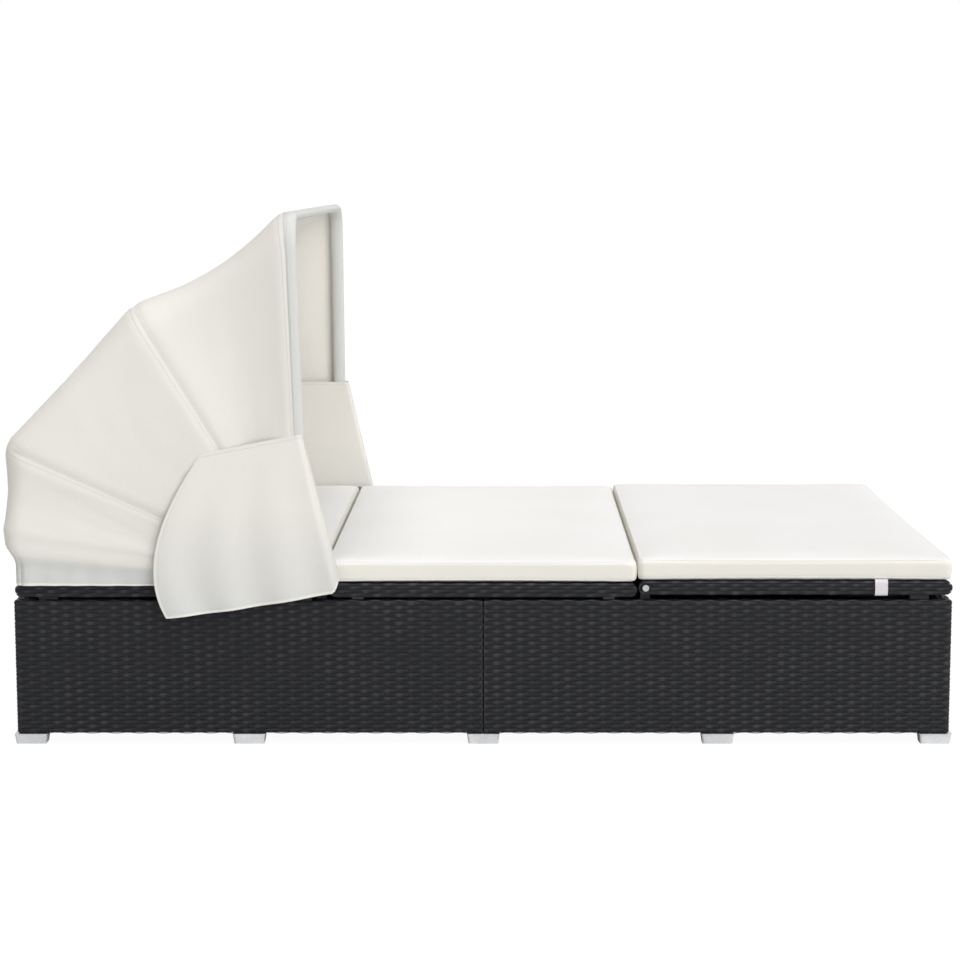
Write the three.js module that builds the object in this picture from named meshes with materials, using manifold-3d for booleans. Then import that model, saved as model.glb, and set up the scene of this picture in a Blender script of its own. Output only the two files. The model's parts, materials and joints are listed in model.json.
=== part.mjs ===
// Outdoor daybed with a folding canopy: two woven base boxes, a fixed seat panel between a head
// section and a leg section that both tilt on ratchet props, three cushions and a four-bow hood.
// Millimetres, +Z up. The head end is at -X, the leg end at +X, and the origin lies on the floor
// under the middle of the base.
import * as THREE from 'three';
import { mergeVertices } from 'three/addons/utils/BufferGeometryUtils.js';
import Module from 'manifold-3d';

const wasm = await Module();
wasm.setup();

// Driving dimensions
const bedLength = 2000;
const bedWidth = 1200;
const footHeight = 22;
const baseHeight = 292;
const shadowGap = 5; // dark line between the base and the panels on it
const legSectionLift = 5; // the leg section rests a little higher than the rest
const headFold = 655; // from the head end to the head section's hinge
const legFold = 654; // from the leg end to the leg section's hinge
const weaveThickness = 4;
const baseTube = 20;
const sectionTube = 22;

// Fits
const seatGap = 0.3; // between faces that rest on each other
const runningGap = 0.5; // between faces that move past each other
const overrun = 2; // how far a cut runs past the face it opens
const weld = 1; // how far a welded piece is let into what carries it

// Levels and edges that follow
const headEnd = -bedLength / 2;
const legEnd = bedLength / 2;
const halfWidth = bedWidth / 2;
const baseTop = footHeight + baseHeight;
const skin = weaveThickness + seatGap;
const sectionThickness = sectionTube + 2 * skin;
const noseRadius = sectionThickness / 2;
const panelBottom = baseTop + shadowGap;
const panelTop = panelBottom + sectionThickness;
const sides = [{ name: 'right', sign: -1 }, { name: 'left', sign: 1 }];

const materials = {
  weave: { color: 0x2d2d30, roughness: 0.45, metalness: 0 },
  frame: { color: 0x26272a, roughness: 0.5, metalness: 0.6 },
  cushion: { color: 0xf1efe9, roughness: 0.9, metalness: 0 },
  canopy: { color: 0xe9e6dd, roughness: 0.9, metalness: 0 },
  foot: { color: 0xc3c6ca, roughness: 0.35, metalness: 0.8 },
  bolt: { color: 0xc9cbce, roughness: 0.3, metalness: 0.9 },
  rubber: { color: 0x1b1b1c, roughness: 0.8, metalness: 0 },
  bow: { color: 0xb9bcc0, roughness: 0.4, metalness: 0.7 },
  knob: { color: 0x222224, roughness: 0.5, metalness: 0 },
  strap: { color: 0xece9ee, roughness: 0.9, metalness: 0 },
};

const daybed = new THREE.Group();

function addPiece(name, geometry, finish, parent = daybed) {
  const material = new THREE.MeshStandardMaterial(materials[finish]);
  const mesh = new THREE.Mesh(geometry, material);
  mesh.name = name;
  parent.add(mesh);
  return mesh;
}

// Solids: three.js geometry made into a body that can be joined and cut, and back again
function toSolid(geometry) {
  const bare = geometry.clone();
  bare.deleteAttribute('normal');
  bare.deleteAttribute('uv');
  const merged = mergeVertices(bare);
  return new wasm.Manifold(new wasm.Mesh({
    numProp: 3,
    vertProperties: new Float32Array(merged.attributes.position.array),
    triVerts: new Uint32Array(merged.index.array),
  }));
}

function toGeometry(solid) {
  const mesh = solid.getMesh();
  const geometry = new THREE.BufferGeometry();
  geometry.setAttribute('position', new THREE.BufferAttribute(mesh.vertProperties, 3));
  geometry.setIndex(new THREE.BufferAttribute(mesh.triVerts, 1));
  geometry.computeVertexNormals();
  return geometry;
}

function join(pieces) {
  return pieces.reduce((whole, piece) => whole.add(piece));
}

function cut(body, tools) {
  return tools.reduce((rest, tool) => rest.subtract(tool), body);
}

// A rectangular bar between two corners, each range given as [low, high]
function bar(xRange, yRange, zRange) {
  const size = [xRange, yRange, zRange].map(([low, high]) => high - low);
  const middle = [xRange, yRange, zRange].map(([low, high]) => (high + low) / 2);
  return toSolid(new THREE.BoxGeometry(...size).translate(...middle));
}

// A range from an inner to an outer distance, on the side given by its sign
function onSide(sign, inner, outer) {
  return sign > 0 ? [inner, outer] : [-outer, -inner];
}

// A round bar between two points
function round(from, to, radius, facets = 14) {
  const start = new THREE.Vector3(...from);
  const along = new THREE.Vector3(...to).sub(start);
  const geometry = new THREE.CylinderGeometry(radius, radius, along.length(), facets);
  geometry.translate(0, along.length() / 2, 0);
  const up = new THREE.Vector3(0, 1, 0);
  geometry.applyQuaternion(new THREE.Quaternion().setFromUnitVectors(up, along.clone().normalize()));
  geometry.translate(...from);
  return toSolid(geometry);
}

// A round bar along Y at one side of the bed
function crossPin(x, z, sign, inner, outer, radius, facets) {
  return round([x, sign * inner, z], [x, sign * outer, z], radius, facets);
}

// An outline in the XZ plane, given a thickness along Y
function plateAcross(shape, [yLow, yHigh], curveSegments = 8) {
  const geometry = new THREE.ExtrudeGeometry(shape, {
    depth: yHigh - yLow, bevelEnabled: false, curveSegments,
  });
  const basis = new THREE.Matrix4().makeBasis(
    new THREE.Vector3(1, 0, 0), new THREE.Vector3(0, 0, 1), new THREE.Vector3(0, -1, 0),
  );
  geometry.applyMatrix4(basis);
  geometry.translate(0, yHigh, 0);
  return toSolid(geometry);
}

// Triangles of a grid-like mesh, turned over where they would face in
function closedGeometry(points, faces) {
  const positions = points.flatMap((point) => [point.x, point.y, point.z]);
  let volume = 0;
  for (let i = 0; i < faces.length; i += 3) {
    const [a, b, c] = faces.slice(i, i + 3).map((index) => points[index]);
    volume += a.dot(new THREE.Vector3().crossVectors(b, c));
  }
  if (volume < 0) faces.reverse();
  const geometry = new THREE.BufferGeometry();
  geometry.setAttribute('position', new THREE.Float32BufferAttribute(positions, 3));
  geometry.setIndex(faces);
  geometry.computeVertexNormals();
  return geometry;
}

function quad(faces, a, b, c, d) {
  faces.push(a, b, c, a, c, d);
}

// A skin of even thickness over a grid of points, grid[row][column]
const skinFaceShares = [0.5, -0.5];

function skinOver(grid, thickness) {
  const rows = grid.length;
  const columns = grid[0].length;
  const points = [];
  const faces = [];
  const at = (side, row, column) => (side * rows + row) * columns + column;
  for (const side of skinFaceShares) {
    for (let row = 0; row < rows; row += 1) {
      for (let column = 0; column < columns; column += 1) {
        const down = grid[Math.min(row + 1, rows - 1)][column].clone();
        down.sub(grid[Math.max(row - 1, 0)][column]);
        const over = grid[row][Math.min(column + 1, columns - 1)].clone();
        over.sub(grid[row][Math.max(column - 1, 0)]);
        const normal = down.cross(over).normalize();
        points.push(grid[row][column].clone().addScaledVector(normal, side * thickness));
      }
    }
  }
  for (let row = 0; row + 1 < rows; row += 1) {
    for (let column = 0; column + 1 < columns; column += 1) {
      quad(faces, at(0, row, column), at(0, row + 1, column),
        at(0, row + 1, column + 1), at(0, row, column + 1));
      quad(faces, at(1, row, column), at(1, row, column + 1),
        at(1, row + 1, column + 1), at(1, row + 1, column));
    }
  }
  for (let row = 0; row + 1 < rows; row += 1) {
    quad(faces, at(0, row, 0), at(1, row, 0), at(1, row + 1, 0), at(0, row + 1, 0));
    quad(faces, at(0, row, columns - 1), at(0, row + 1, columns - 1),
      at(1, row + 1, columns - 1), at(1, row, columns - 1));
  }
  for (let column = 0; column + 1 < columns; column += 1) {
    quad(faces, at(0, 0, column), at(0, 0, column + 1), at(1, 0, column + 1), at(1, 0, column));
    quad(faces, at(0, rows - 1, column), at(1, rows - 1, column),
      at(1, rows - 1, column + 1), at(0, rows - 1, column + 1));
  }
  return closedGeometry(points, faces);
}

// Base boxes: a welded tube frame in each, woven over on its three outer sides
const boxGap = 2; // between the two boxes, at the middle of the bed
const earRadius = 10;
const earThickness = 4;
const hingeShankRadius = 4;
const hingeHeadRadius = 7;
const hingeHeadHeight = 2.4;
const hingeNutRadius = 7;
const hingeNutLength = 6;
const holePlay = 0.5; // a hole's radius over that of the shank in it
const joiningShankRadius = 4;
const joiningHeadRadius = 7;
const joiningHeadHeight = 5;
const joiningBoltSpread = 640; // between the two bolts that hold the boxes together
const platformInset = 3; // the panels' sides stand back from the base's
const platformHalf = halfWidth - platformInset;
const sectionRailInner = platformHalf - skin - sectionTube;
const earOuter = sectionRailInner - runningGap;
const earInner = earOuter - earThickness;
const railInner = halfWidth - skin - baseTube;
const frameBottom = footHeight + skin;
const frameTop = baseTop - skin;
const headHingeX = headEnd + headFold;
const legHingeX = legEnd - legFold;
const headHingeZ = panelBottom + noseRadius;
const legHingeZ = panelBottom + legSectionLift + noseRadius;
const joiningBoltZ = frameTop - baseTube / 2;

// Canopy bracket places that the head box is drilled for
const pivotSetback = 614; // from the head end to the canopy's pivot
const pivotRise = 10.4; // above the panels
const bracketHalfWidth = 22;
const bracketScrewRadius = 2.5;
const bracketScrewSpread = 24;
const bracketScrewLength = 14; // into the rail
const pivotX = headEnd + pivotSetback;
const pivotZ = panelTop + pivotRise;
const bracketScrewY = (halfWidth - skin + railInner) / 2;
const bracketScrewShares = [-0.5, 0.5];
const bracketScrews = bracketScrewShares.map((share) => pivotX + share * bracketScrewSpread);

function screwHoles(sign) {
  return bracketScrews.map((x) => round(
    [x, sign * bracketScrewY, baseTop - weaveThickness - bracketScrewLength - overrun],
    [x, sign * bracketScrewY, baseTop + overrun],
    bracketScrewRadius + holePlay,
    12,
  ));
}

function baseFrame(xInner, xOuter, [hingeX, hingeZ], drilled) {
  const outward = Math.sign(xOuter - xInner);
  const span = (from, to) => [Math.min(from, to), Math.max(from, to)];
  const tubeX = (near) => span(near, near + outward * baseTube);
  const lastX = xOuter - outward * (skin + baseTube);
  const middleX = (xInner + xOuter - outward * baseTube) / 2;
  const full = span(xInner, xOuter - outward * skin);
  const wide = [-(halfWidth - skin), halfWidth - skin];
  const levels = [[frameBottom, frameBottom + baseTube], [frameTop - baseTube, frameTop]];
  const tubes = [];
  for (const level of levels) {
    for (const x of [xInner, lastX]) tubes.push(bar(tubeX(x), wide, level));
    for (const { sign } of sides) {
      tubes.push(bar(full, onSide(sign, railInner, halfWidth - skin), level));
    }
  }
  for (const x of [xInner, middleX, lastX]) {
    for (const { sign } of sides) {
      tubes.push(bar(tubeX(x), onSide(sign, railInner, halfWidth - skin), [frameBottom, frameTop]));
    }
  }
  const holes = [];
  for (const { sign } of sides) {
    const earX = [hingeX - earRadius, hingeX + earRadius];
    const earY = onSide(sign, earInner, earOuter);
    tubes.push(bar(earX, earY, [frameTop - baseTube, hingeZ]));
    tubes.push(crossPin(hingeX, hingeZ, sign, earInner, earOuter, earRadius));
    tubes.push(bar(earX, onSide(sign, earInner, railInner + weld), [frameTop - baseTube, frameTop]));
    holes.push(crossPin(hingeX, hingeZ, sign, earInner - overrun, earOuter + overrun,
      hingeShankRadius + holePlay));
    const bolt = sign * joiningBoltSpread / 2;
    holes.push(round([xInner - outward * overrun, bolt, joiningBoltZ],
      [xInner + outward * (baseTube + overrun), bolt, joiningBoltZ], joiningShankRadius + holePlay, 12));
    if (drilled) holes.push(...screwHoles(sign));
  }
  return toGeometry(cut(join(tubes), holes));
}

// A woven skin's section: down the outside of the frame, with a lip over and under its tubes
const weaveCornerRadius = 6;
const weaveLip = skin + baseTube - seatGap;

function channelShape() {
  const top = baseTop;
  const bottom = footHeight;
  const shape = new THREE.Shape();
  shape.moveTo(weaveLip, bottom);
  shape.lineTo(weaveLip, bottom + weaveThickness);
  shape.lineTo(weaveThickness, bottom + weaveThickness);
  shape.lineTo(weaveThickness, top - weaveThickness);
  shape.lineTo(weaveLip, top - weaveThickness);
  shape.lineTo(weaveLip, top);
  shape.lineTo(weaveCornerRadius, top);
  shape.absarc(weaveCornerRadius, top - weaveCornerRadius, weaveCornerRadius, Math.PI / 2, Math.PI);
  shape.lineTo(0, bottom + weaveCornerRadius);
  shape.absarc(weaveCornerRadius, bottom + weaveCornerRadius, weaveCornerRadius,
    Math.PI, 1.5 * Math.PI);
  return shape;
}

// The skin's section swept from a corner, with its lips pointing along inward
function wovenChannel(corner, inward, length) {
  const geometry = new THREE.ExtrudeGeometry(channelShape(), {
    depth: length, bevelEnabled: false, curveSegments: 3,
  });
  const up = new THREE.Vector3(0, 0, 1);
  const along = new THREE.Vector3().crossVectors(inward, up);
  geometry.applyMatrix4(new THREE.Matrix4().makeBasis(inward, up, along));
  geometry.translate(...corner);
  return toSolid(geometry);
}

function sideWeave(xLow, xHigh, sign, drilled) {
  const inward = new THREE.Vector3(0, -sign, 0);
  const startX = sign < 0 ? xLow : xHigh;
  const panel = wovenChannel([startX, sign * halfWidth, 0], inward, xHigh - xLow);
  return toGeometry(drilled ? cut(panel, screwHoles(sign)) : panel);
}

function endWeave(endX) {
  const outward = Math.sign(endX);
  const lipEnd = halfWidth - weaveLip - seatGap;
  const inward = new THREE.Vector3(-outward, 0, 0);
  const panel = wovenChannel([endX, -outward * lipEnd, 0], inward, 2 * lipEnd);
  const webX = outward > 0 ? [endX - weaveThickness, endX] : [endX, endX + weaveThickness];
  const webEnd = halfWidth - skin;
  const web = bar(webX, [-webEnd, webEnd], [frameBottom, frameTop]);
  return toGeometry(panel.add(web));
}

const boxes = [
  { name: 'head', inner: -boxGap / 2, outer: headEnd, hinge: [headHingeX, headHingeZ], drilled: true },
  { name: 'leg', inner: boxGap / 2, outer: legEnd, hinge: [legHingeX, legHingeZ], drilled: false },
];
for (const { name, inner, outer, hinge, drilled } of boxes) {
  addPiece(`${name}_base_frame`, baseFrame(inner, outer, hinge, drilled), 'frame');
  const [xLow, xHigh] = [Math.min(inner, outer), Math.max(inner, outer)];
  for (const { name: side, sign } of sides) {
    addPiece(`${name}_base_${side}_weave`, sideWeave(xLow, xHigh, sign, drilled), 'weave');
  }
  addPiece(`${name}_base_end_weave`, endWeave(outer), 'weave');
}

// Floor feet: five under each long side, the middle one across the joint of the boxes
const footLength = 70;
const footWidth = 42;
const footInset = 1; // from the base's sides
const footOverhang = 5; // past the base's ends
const footCornerRadius = 5;
const footTaper = 3; // how much narrower a foot is at the floor, on each side

function floorFoot() {
  const halfLength = footLength / 2;
  const halfDepth = footWidth / 2;
  const outline = (inset) => {
    const shape = new THREE.Shape();
    const x = halfLength - inset;
    const y = halfDepth - inset;
    const r = footCornerRadius;
    shape.moveTo(r - x, -y);
    shape.absarc(x - r, r - y, r, -Math.PI / 2, 0);
    shape.absarc(x - r, y - r, r, 0, Math.PI / 2);
    shape.absarc(r - x, y - r, r, Math.PI / 2, Math.PI);
    shape.absarc(r - x, r - y, r, Math.PI, 1.5 * Math.PI);
    return mergeVertices(new THREE.BufferGeometry().setFromPoints(shape.extractPoints(3).shape));
  };
  const lower = outline(footTaper).attributes.position;
  const upper = outline(0).attributes.position;
  const count = lower.count;
  const points = [];
  for (const [ring, z] of [[lower, 0], [upper, footHeight - seatGap]]) {
    for (let i = 0; i < count; i += 1) points.push(new THREE.Vector3(ring.getX(i), ring.getY(i), z));
  }
  const faces = [];
  for (let i = 0; i < count; i += 1) {
    const next = (i + 1) % count;
    quad(faces, i, next, count + next, count + i);
    if (i > 0 && next > 0) faces.push(0, next, i, count, count + i, count + next);
  }
  return closedGeometry(points, faces);
}

const footRow = halfWidth - footInset - footWidth / 2;
const footReach = bedLength / 2 + footOverhang - footLength / 2;
const footPlaceShares = [-1, -0.518, 0, 0.518, 1];
footPlaceShares.forEach((share, index) => {
  for (const { name, sign } of sides) {
    const foot = addPiece(`base_foot_${index + 1}_${name}`, floorFoot(), 'foot');
    foot.position.set(share * footReach, sign * footRow, 0);
  }
});

// Bolts that draw the two boxes together through their top end rails
for (const { name, sign } of sides) {
  const y = sign * joiningBoltSpread / 2;
  const grip = boxGap / 2 + baseTube + seatGap;
  const bolt = join([
    round([-grip, y, joiningBoltZ], [grip, y, joiningBoltZ], joiningShankRadius, 12),
    round([-grip - joiningHeadHeight, y, joiningBoltZ], [-grip, y, joiningBoltZ], joiningHeadRadius, 6),
    round([grip, y, joiningBoltZ], [grip + joiningHeadHeight, y, joiningBoltZ], joiningHeadRadius, 6),
  ]);
  addPiece(`joining_bolt_${name}`, toGeometry(bolt), 'bolt');
}

// Panels: a slatted tube frame with rounded ends, woven over its top, sides and ends
const foldGap = 3; // between the seat panel and a tilting section
const headInset = 4; // the head section stops short of the head end
const legInset = 1;
const slatWidth = 22;
const slatSpacing = 150; // the most there is between two slats
const endRail = 38; // long enough to hold the hinge pockets
const seatSpacerLength = 24;
const seatSpacerInset = 60;
const bumperLength = 40;
const bumperInset = 70;
const bearingOuter = halfWidth - skin - seatGap; // bearing pads lie over the base's side rails
const bearingInner = railInner + seatGap;

function slabShape(xLow, xHigh, bottom, inset) {
  const radius = noseRadius - inset;
  const middle = bottom + noseRadius;
  const shape = new THREE.Shape();
  shape.moveTo(xLow + noseRadius, middle - radius);
  shape.absarc(xHigh - noseRadius, middle, radius, -Math.PI / 2, Math.PI / 2);
  shape.absarc(xLow + noseRadius, middle, radius, Math.PI / 2, 1.5 * Math.PI);
  return shape;
}

// Slat edges between the end rails, with a slat centred on each place in centres
function windowsBetween(xLow, xHigh, centres) {
  const edges = [xLow + skin + endRail];
  for (const x of centres) edges.push(x - slatWidth / 2, x + slatWidth / 2);
  edges.push(xHigh - skin - endRail);
  const windows = [];
  for (let i = 0; i < edges.length; i += 2) {
    const length = edges[i + 1] - edges[i];
    const extra = Math.max(Math.ceil(length / (slatSpacing + slatWidth)) - 1, 0);
    const open = (length - extra * slatWidth) / (extra + 1);
    for (let k = 0; k <= extra; k += 1) {
      const start = edges[i] + k * (open + slatWidth);
      windows.push([start, start + open]);
    }
  }
  return windows;
}

function pocketCuts(hinge, top) {
  return sides.map(({ sign }) => {
    const reach = earRadius + runningGap;
    const far = hinge.x + hinge.outward * reach;
    const near = hinge.x - hinge.outward * (noseRadius + overrun);
    const xRange = [Math.min(near, far), Math.max(near, far)];
    const inner = earInner - hingeNutLength - 2 * runningGap;
    return bar(xRange, onSide(sign, inner, sectionRailInner), [hinge.z - noseRadius - overrun, top]);
  });
}

function hingeHoles(hinge) {
  return sides.map(({ sign }) => crossPin(hinge.x, hinge.z, sign, sectionRailInner - overrun,
    platformHalf + overrun, hingeShankRadius + holePlay));
}

function panelFrame(panel, centres, additions, drillings) {
  const { xLow, xHigh, bottom, hinge } = panel;
  const slab = plateAcross(slabShape(xLow, xHigh, bottom, skin), [skin - platformHalf, platformHalf - skin]);
  const levels = [bottom - overrun, bottom + sectionThickness + overrun];
  const openings = windowsBetween(xLow, xHigh, centres).map(
    (window) => bar(window, [-sectionRailInner, sectionRailInner], levels),
  );
  if (hinge) openings.push(...pocketCuts(hinge, bottom + sectionThickness), ...hingeHoles(hinge));
  return toGeometry(cut(join([cut(slab, openings), ...additions]), drillings));
}

function panelWeave(panel, passages) {
  const { xLow, xHigh, bottom, hinge } = panel;
  const outside = plateAcross(slabShape(xLow, xHigh, bottom, 0), [-platformHalf, platformHalf]);
  const half = platformHalf - weaveThickness;
  const inside = plateAcross(slabShape(xLow, xHigh, bottom, weaveThickness), [-half, half]);
  const lip = skin + endRail;
  const window = bar([xLow + lip, xHigh - lip], [-sectionRailInner, sectionRailInner],
    [bottom - overrun, bottom + weaveThickness + overrun]);
  const tools = [inside, window, ...passages];
  if (hinge) {
    tools.push(...pocketCuts(hinge, bottom + sectionThickness - weaveThickness), ...hingeHoles(hinge));
  }
  return toGeometry(cut(outside, tools));
}

const headPanel = {
  xLow: headEnd + headInset,
  xHigh: headHingeX + noseRadius,
  bottom: panelBottom,
  hinge: { x: headHingeX, z: headHingeZ, outward: -1 },
};
const legPanel = {
  xLow: legHingeX - noseRadius,
  xHigh: legEnd - legInset,
  bottom: panelBottom + legSectionLift,
  hinge: { x: legHingeX, z: legHingeZ, outward: 1 },
};
const seatPanel = { xLow: headPanel.xHigh + foldGap, xHigh: legPanel.xLow - foldGap, bottom: panelBottom };

// The seat panel stands on four spacers that reach down through its weave to the base
const spacerPlaces = [seatPanel.xLow + seatSpacerInset, seatPanel.xHigh - seatSpacerInset];

function spacers(play, top) {
  const pieces = [];
  for (const x of spacerPlaces) {
    for (const { sign } of sides) {
      pieces.push(bar(
        [x - seatSpacerLength / 2 - play, x + seatSpacerLength / 2 + play],
        onSide(sign, bearingInner - play, bearingOuter - platformInset + play),
        [baseTop + seatGap, top],
      ));
    }
  }
  return pieces;
}

addPiece('seat_frame', panelFrame(seatPanel, [], spacers(0, panelBottom + skin + weld), []), 'frame');
addPiece('seat_weave', panelWeave(seatPanel, spacers(seatGap, panelBottom + weaveThickness + overrun)),
  'weave');

// Ratchet props: a bent rod hinged under each section, its crossbar running along a notched rack.
// The rod is as long as its hinge is from the section's, so the crossbar runs along a straight line.
const propReach = 290; // from the section's hinge to the rod's, along the section
const propDrop = 21; // of the rod's hinge below the section's middle
const rackDrop = 36; // of the crossbar below the section's hinge, with the section down
const propRadius = 6;
const propArmInset = 88; // from the panel's side to the rod's arm
const lugThickness = 5;
const lugRadius = 11;
const rackThickness = 4;
const rackDepth = 22;
const rackOverhang = 18; // past the first and last notch
const toothDepth = 6;
const toothLean = 7;
const notchCount = 6;
const headTilt = THREE.MathUtils.degToRad(55);
const legTilt = THREE.MathUtils.degToRad(35);

const propLength = Math.hypot(propReach, propDrop);
const hingeToLug = -Math.asin(propDrop / propLength);
const trackSlope = -Math.asin(rackDrop / (2 * propLength));
const rodSlope = 2 * trackSlope - hingeToLug;
const trackAt = (tilt) => 2 * propLength * Math.cos((hingeToLug - rodSlope) / 2 + tilt);
const armY = platformHalf - propArmInset;
const rackOuter = railInner - seatGap;
const crossbarEnd = rackOuter - seatGap;

function underHinge({ x, z, outward }) {
  return (along, up) => [x + outward * along, z + up];
}

function lugs(hinge, bottom) {
  const place = underHinge(hinge);
  const [x, z] = place(propReach, -propDrop);
  const inner = armY - propRadius - seatGap - lugThickness;
  const outer = armY - propRadius - seatGap;
  return sides.flatMap(({ sign }) => [
    bar([x - lugRadius, x + lugRadius], onSide(sign, inner, outer), [z, bottom + skin + weld]),
    crossPin(x, z, sign, inner, outer, lugRadius),
  ]);
}

function lugHoles(hinge) {
  const [x, z] = underHinge(hinge)(propReach, -propDrop);
  const inner = armY - propRadius - seatGap - lugThickness - overrun;
  return sides.map(({ sign }) => crossPin(x, z, sign, inner, armY, propRadius + holePlay));
}

function propRod(hinge) {
  const place = underHinge(hinge);
  const [lugX, lugZ] = place(propReach, -propDrop);
  const run = trackAt(0);
  const [barX, barZ] = place(run * Math.cos(trackSlope), run * Math.sin(trackSlope));
  const pinInner = armY - propRadius - 2 * seatGap - lugThickness - overrun;
  const pieces = [round([barX, -crossbarEnd, barZ], [barX, crossbarEnd, barZ], propRadius, 12)];
  for (const { sign } of sides) {
    pieces.push(round([lugX, sign * armY, lugZ], [barX, sign * armY, barZ], propRadius, 12));
    pieces.push(round([lugX, sign * pinInner, lugZ], [lugX, sign * (armY + propRadius), lugZ],
      propRadius, 12));
  }
  return toGeometry(join(pieces));
}

// A rack's outline: a bar under the crossbar's track, with teeth that lean back over its notches
function rackShape(hinge, maxTilt) {
  const place = underHinge(hinge);
  const onTrack = (run, below) => new THREE.Vector2(...place(
    run * Math.cos(trackSlope) + below * Math.sin(trackSlope),
    run * Math.sin(trackSlope) - below * Math.cos(trackSlope),
  ));
  const crest = propRadius + runningGap;
  const last = trackAt(0);
  const first = trackAt(maxTilt);
  const points = [onTrack(first - rackOverhang, crest + rackDepth), onTrack(first - rackOverhang, crest)];
  for (let notch = 0; notch < notchCount; notch += 1) {
    const run = first + (last - first) * notch / (notchCount - 1);
    points.push(onTrack(run - propRadius - toothLean, crest));
    points.push(onTrack(run - propRadius / 2, crest + toothDepth));
    points.push(onTrack(run + propRadius / 2, crest + toothDepth));
    points.push(onTrack(run + propRadius, crest));
  }
  points.push(onTrack(last + rackOverhang, crest), onTrack(last + rackOverhang, crest + rackDepth));
  return new THREE.Shape(hinge.outward > 0 ? points.reverse() : points);
}

const headSection = new THREE.Group();
const legSection = new THREE.Group();
daybed.add(headSection, legSection);
const sections = [
  { name: 'head', panel: headPanel, group: headSection, tilt: headTilt },
  { name: 'leg', panel: legPanel, group: legSection, tilt: legTilt },
];
for (const { name, panel, group, tilt } of sections) {
  const { hinge, bottom } = panel;
  const [slatX] = underHinge(hinge)(propReach, 0);
  const frame = panelFrame(panel, [slatX], lugs(hinge, bottom), lugHoles(hinge));
  addPiece(`${name}_section_frame`, frame, 'frame', group);
  addPiece(`${name}_section_weave`, panelWeave(panel, []), 'weave', group);
  addPiece(`${name}_prop`, propRod(hinge), 'frame', group);
  for (const { name: side, sign } of sides) {
    const rackY = onSide(sign, rackOuter - rackThickness, rackOuter);
    const rack = plateAcross(rackShape(hinge, tilt), rackY);
    addPiece(`${name}_rack_${side}`, toGeometry(rack), 'frame');
    const bumperX = (hinge.outward > 0 ? panel.xHigh : panel.xLow) - hinge.outward * bumperInset;
    const bumper = bar(
      [bumperX - bumperLength / 2, bumperX + bumperLength / 2],
      onSide(sign, bearingInner, bearingOuter - platformInset),
      [baseTop + seatGap, bottom - seatGap],
    );
    addPiece(`${name}_bumper_${side}`, toGeometry(bumper), 'rubber');
    const bolt = join([
      crossPin(hinge.x, hinge.z, sign, earInner - seatGap, platformHalf + seatGap, hingeShankRadius),
      crossPin(hinge.x, hinge.z, sign, platformHalf + seatGap,
        platformHalf + seatGap + hingeHeadHeight, hingeHeadRadius, 16),
      crossPin(hinge.x, hinge.z, sign, earInner - seatGap - hingeNutLength, earInner - seatGap,
        hingeNutRadius, 6),
    ]);
    addPiece(`${name}_hinge_bolt_${side}`, toGeometry(bolt), 'bolt');
  }
}

// Cushions: one crowned pad on each panel, its sides drawn in a little between the corners
const cushionThickness = 45;
const cushionCrown = 6;
const cushionEdgeRadius = 12;
const cushionDrawIn = 4;
const cushionFoldReach = 11; // how far a tilting section's cushion lies past its hinge
const cushionGap = 8;
const headCushionInset = 16;
const legCushionInset = 2;
const cushionSpans = 6;
const roundSteps = 2;
const cushionLevelShares = [-1, -0.55, 0, 0.55, 1];

// Even steps along a side, with the first and last of them shared out around its rounded ends
function sideSteps(length, radius) {
  const half = length / 2;
  const steps = [];
  for (let i = 0; i <= roundSteps; i += 1) {
    steps.push(-half + radius * (1 - Math.cos(i * Math.PI / 4 / roundSteps)) * 2);
  }
  const first = -half + radius;
  for (let i = 0; i <= cushionSpans; i += 1) steps.push(first - 2 * first * i / cushionSpans);
  const low = steps.filter((value) => value < 0);
  const unique = [...new Set(low)].sort((a, b) => a - b);
  return [...unique, ...unique.map((value) => -value).reverse()];
}

function cushion(xLow, xHigh, bottom) {
  const length = xHigh - xLow;
  const width = 2 * platformHalf;
  const radius = cushionEdgeRadius;
  const xs = sideSteps(length, radius);
  const ys = sideSteps(width, radius);
  const zs = cushionLevelShares.map((share) => share * cushionThickness / 2);
  const geometry = new THREE.BoxGeometry(1, 1, 1, xs.length - 1, ys.length - 1, zs.length - 1);
  const position = geometry.attributes.position;
  const point = new THREE.Vector3();
  const pick = (steps, share) => steps[Math.round((share + 0.5) * (steps.length - 1))];
  const inner = new THREE.Vector3(length / 2 - radius, width / 2 - radius, cushionThickness / 2 - radius);
  for (let i = 0; i < position.count; i += 1) {
    point.set(pick(xs, position.getX(i)), pick(ys, position.getY(i)), pick(zs, position.getZ(i)));
    const core = point.clone().clamp(inner.clone().negate(), inner);
    const out = point.clone().sub(core);
    if (out.length() > radius) point.copy(core).addScaledVector(out.normalize(), radius);
    const u = 2 * point.x / length;
    const v = 2 * point.y / width;
    const rise = (1 - u ** 4) * (1 - v ** 4);
    if (point.z > 0) point.z += cushionCrown * rise * point.z / (cushionThickness / 2);
    point.x -= Math.sign(u) * cushionDrawIn * u ** 4 * (1 - v ** 4);
    point.y -= Math.sign(v) * cushionDrawIn * v ** 4 * (1 - u ** 4);
    point.x += (xLow + xHigh) / 2;
    point.z += bottom + seatGap + cushionThickness / 2;
    position.setXYZ(i, point.x, point.y, point.z);
  }
  geometry.deleteAttribute('uv');
  geometry.deleteAttribute('normal');
  const pad = mergeVertices(geometry);
  pad.computeVertexNormals();
  return pad;
}

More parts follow.
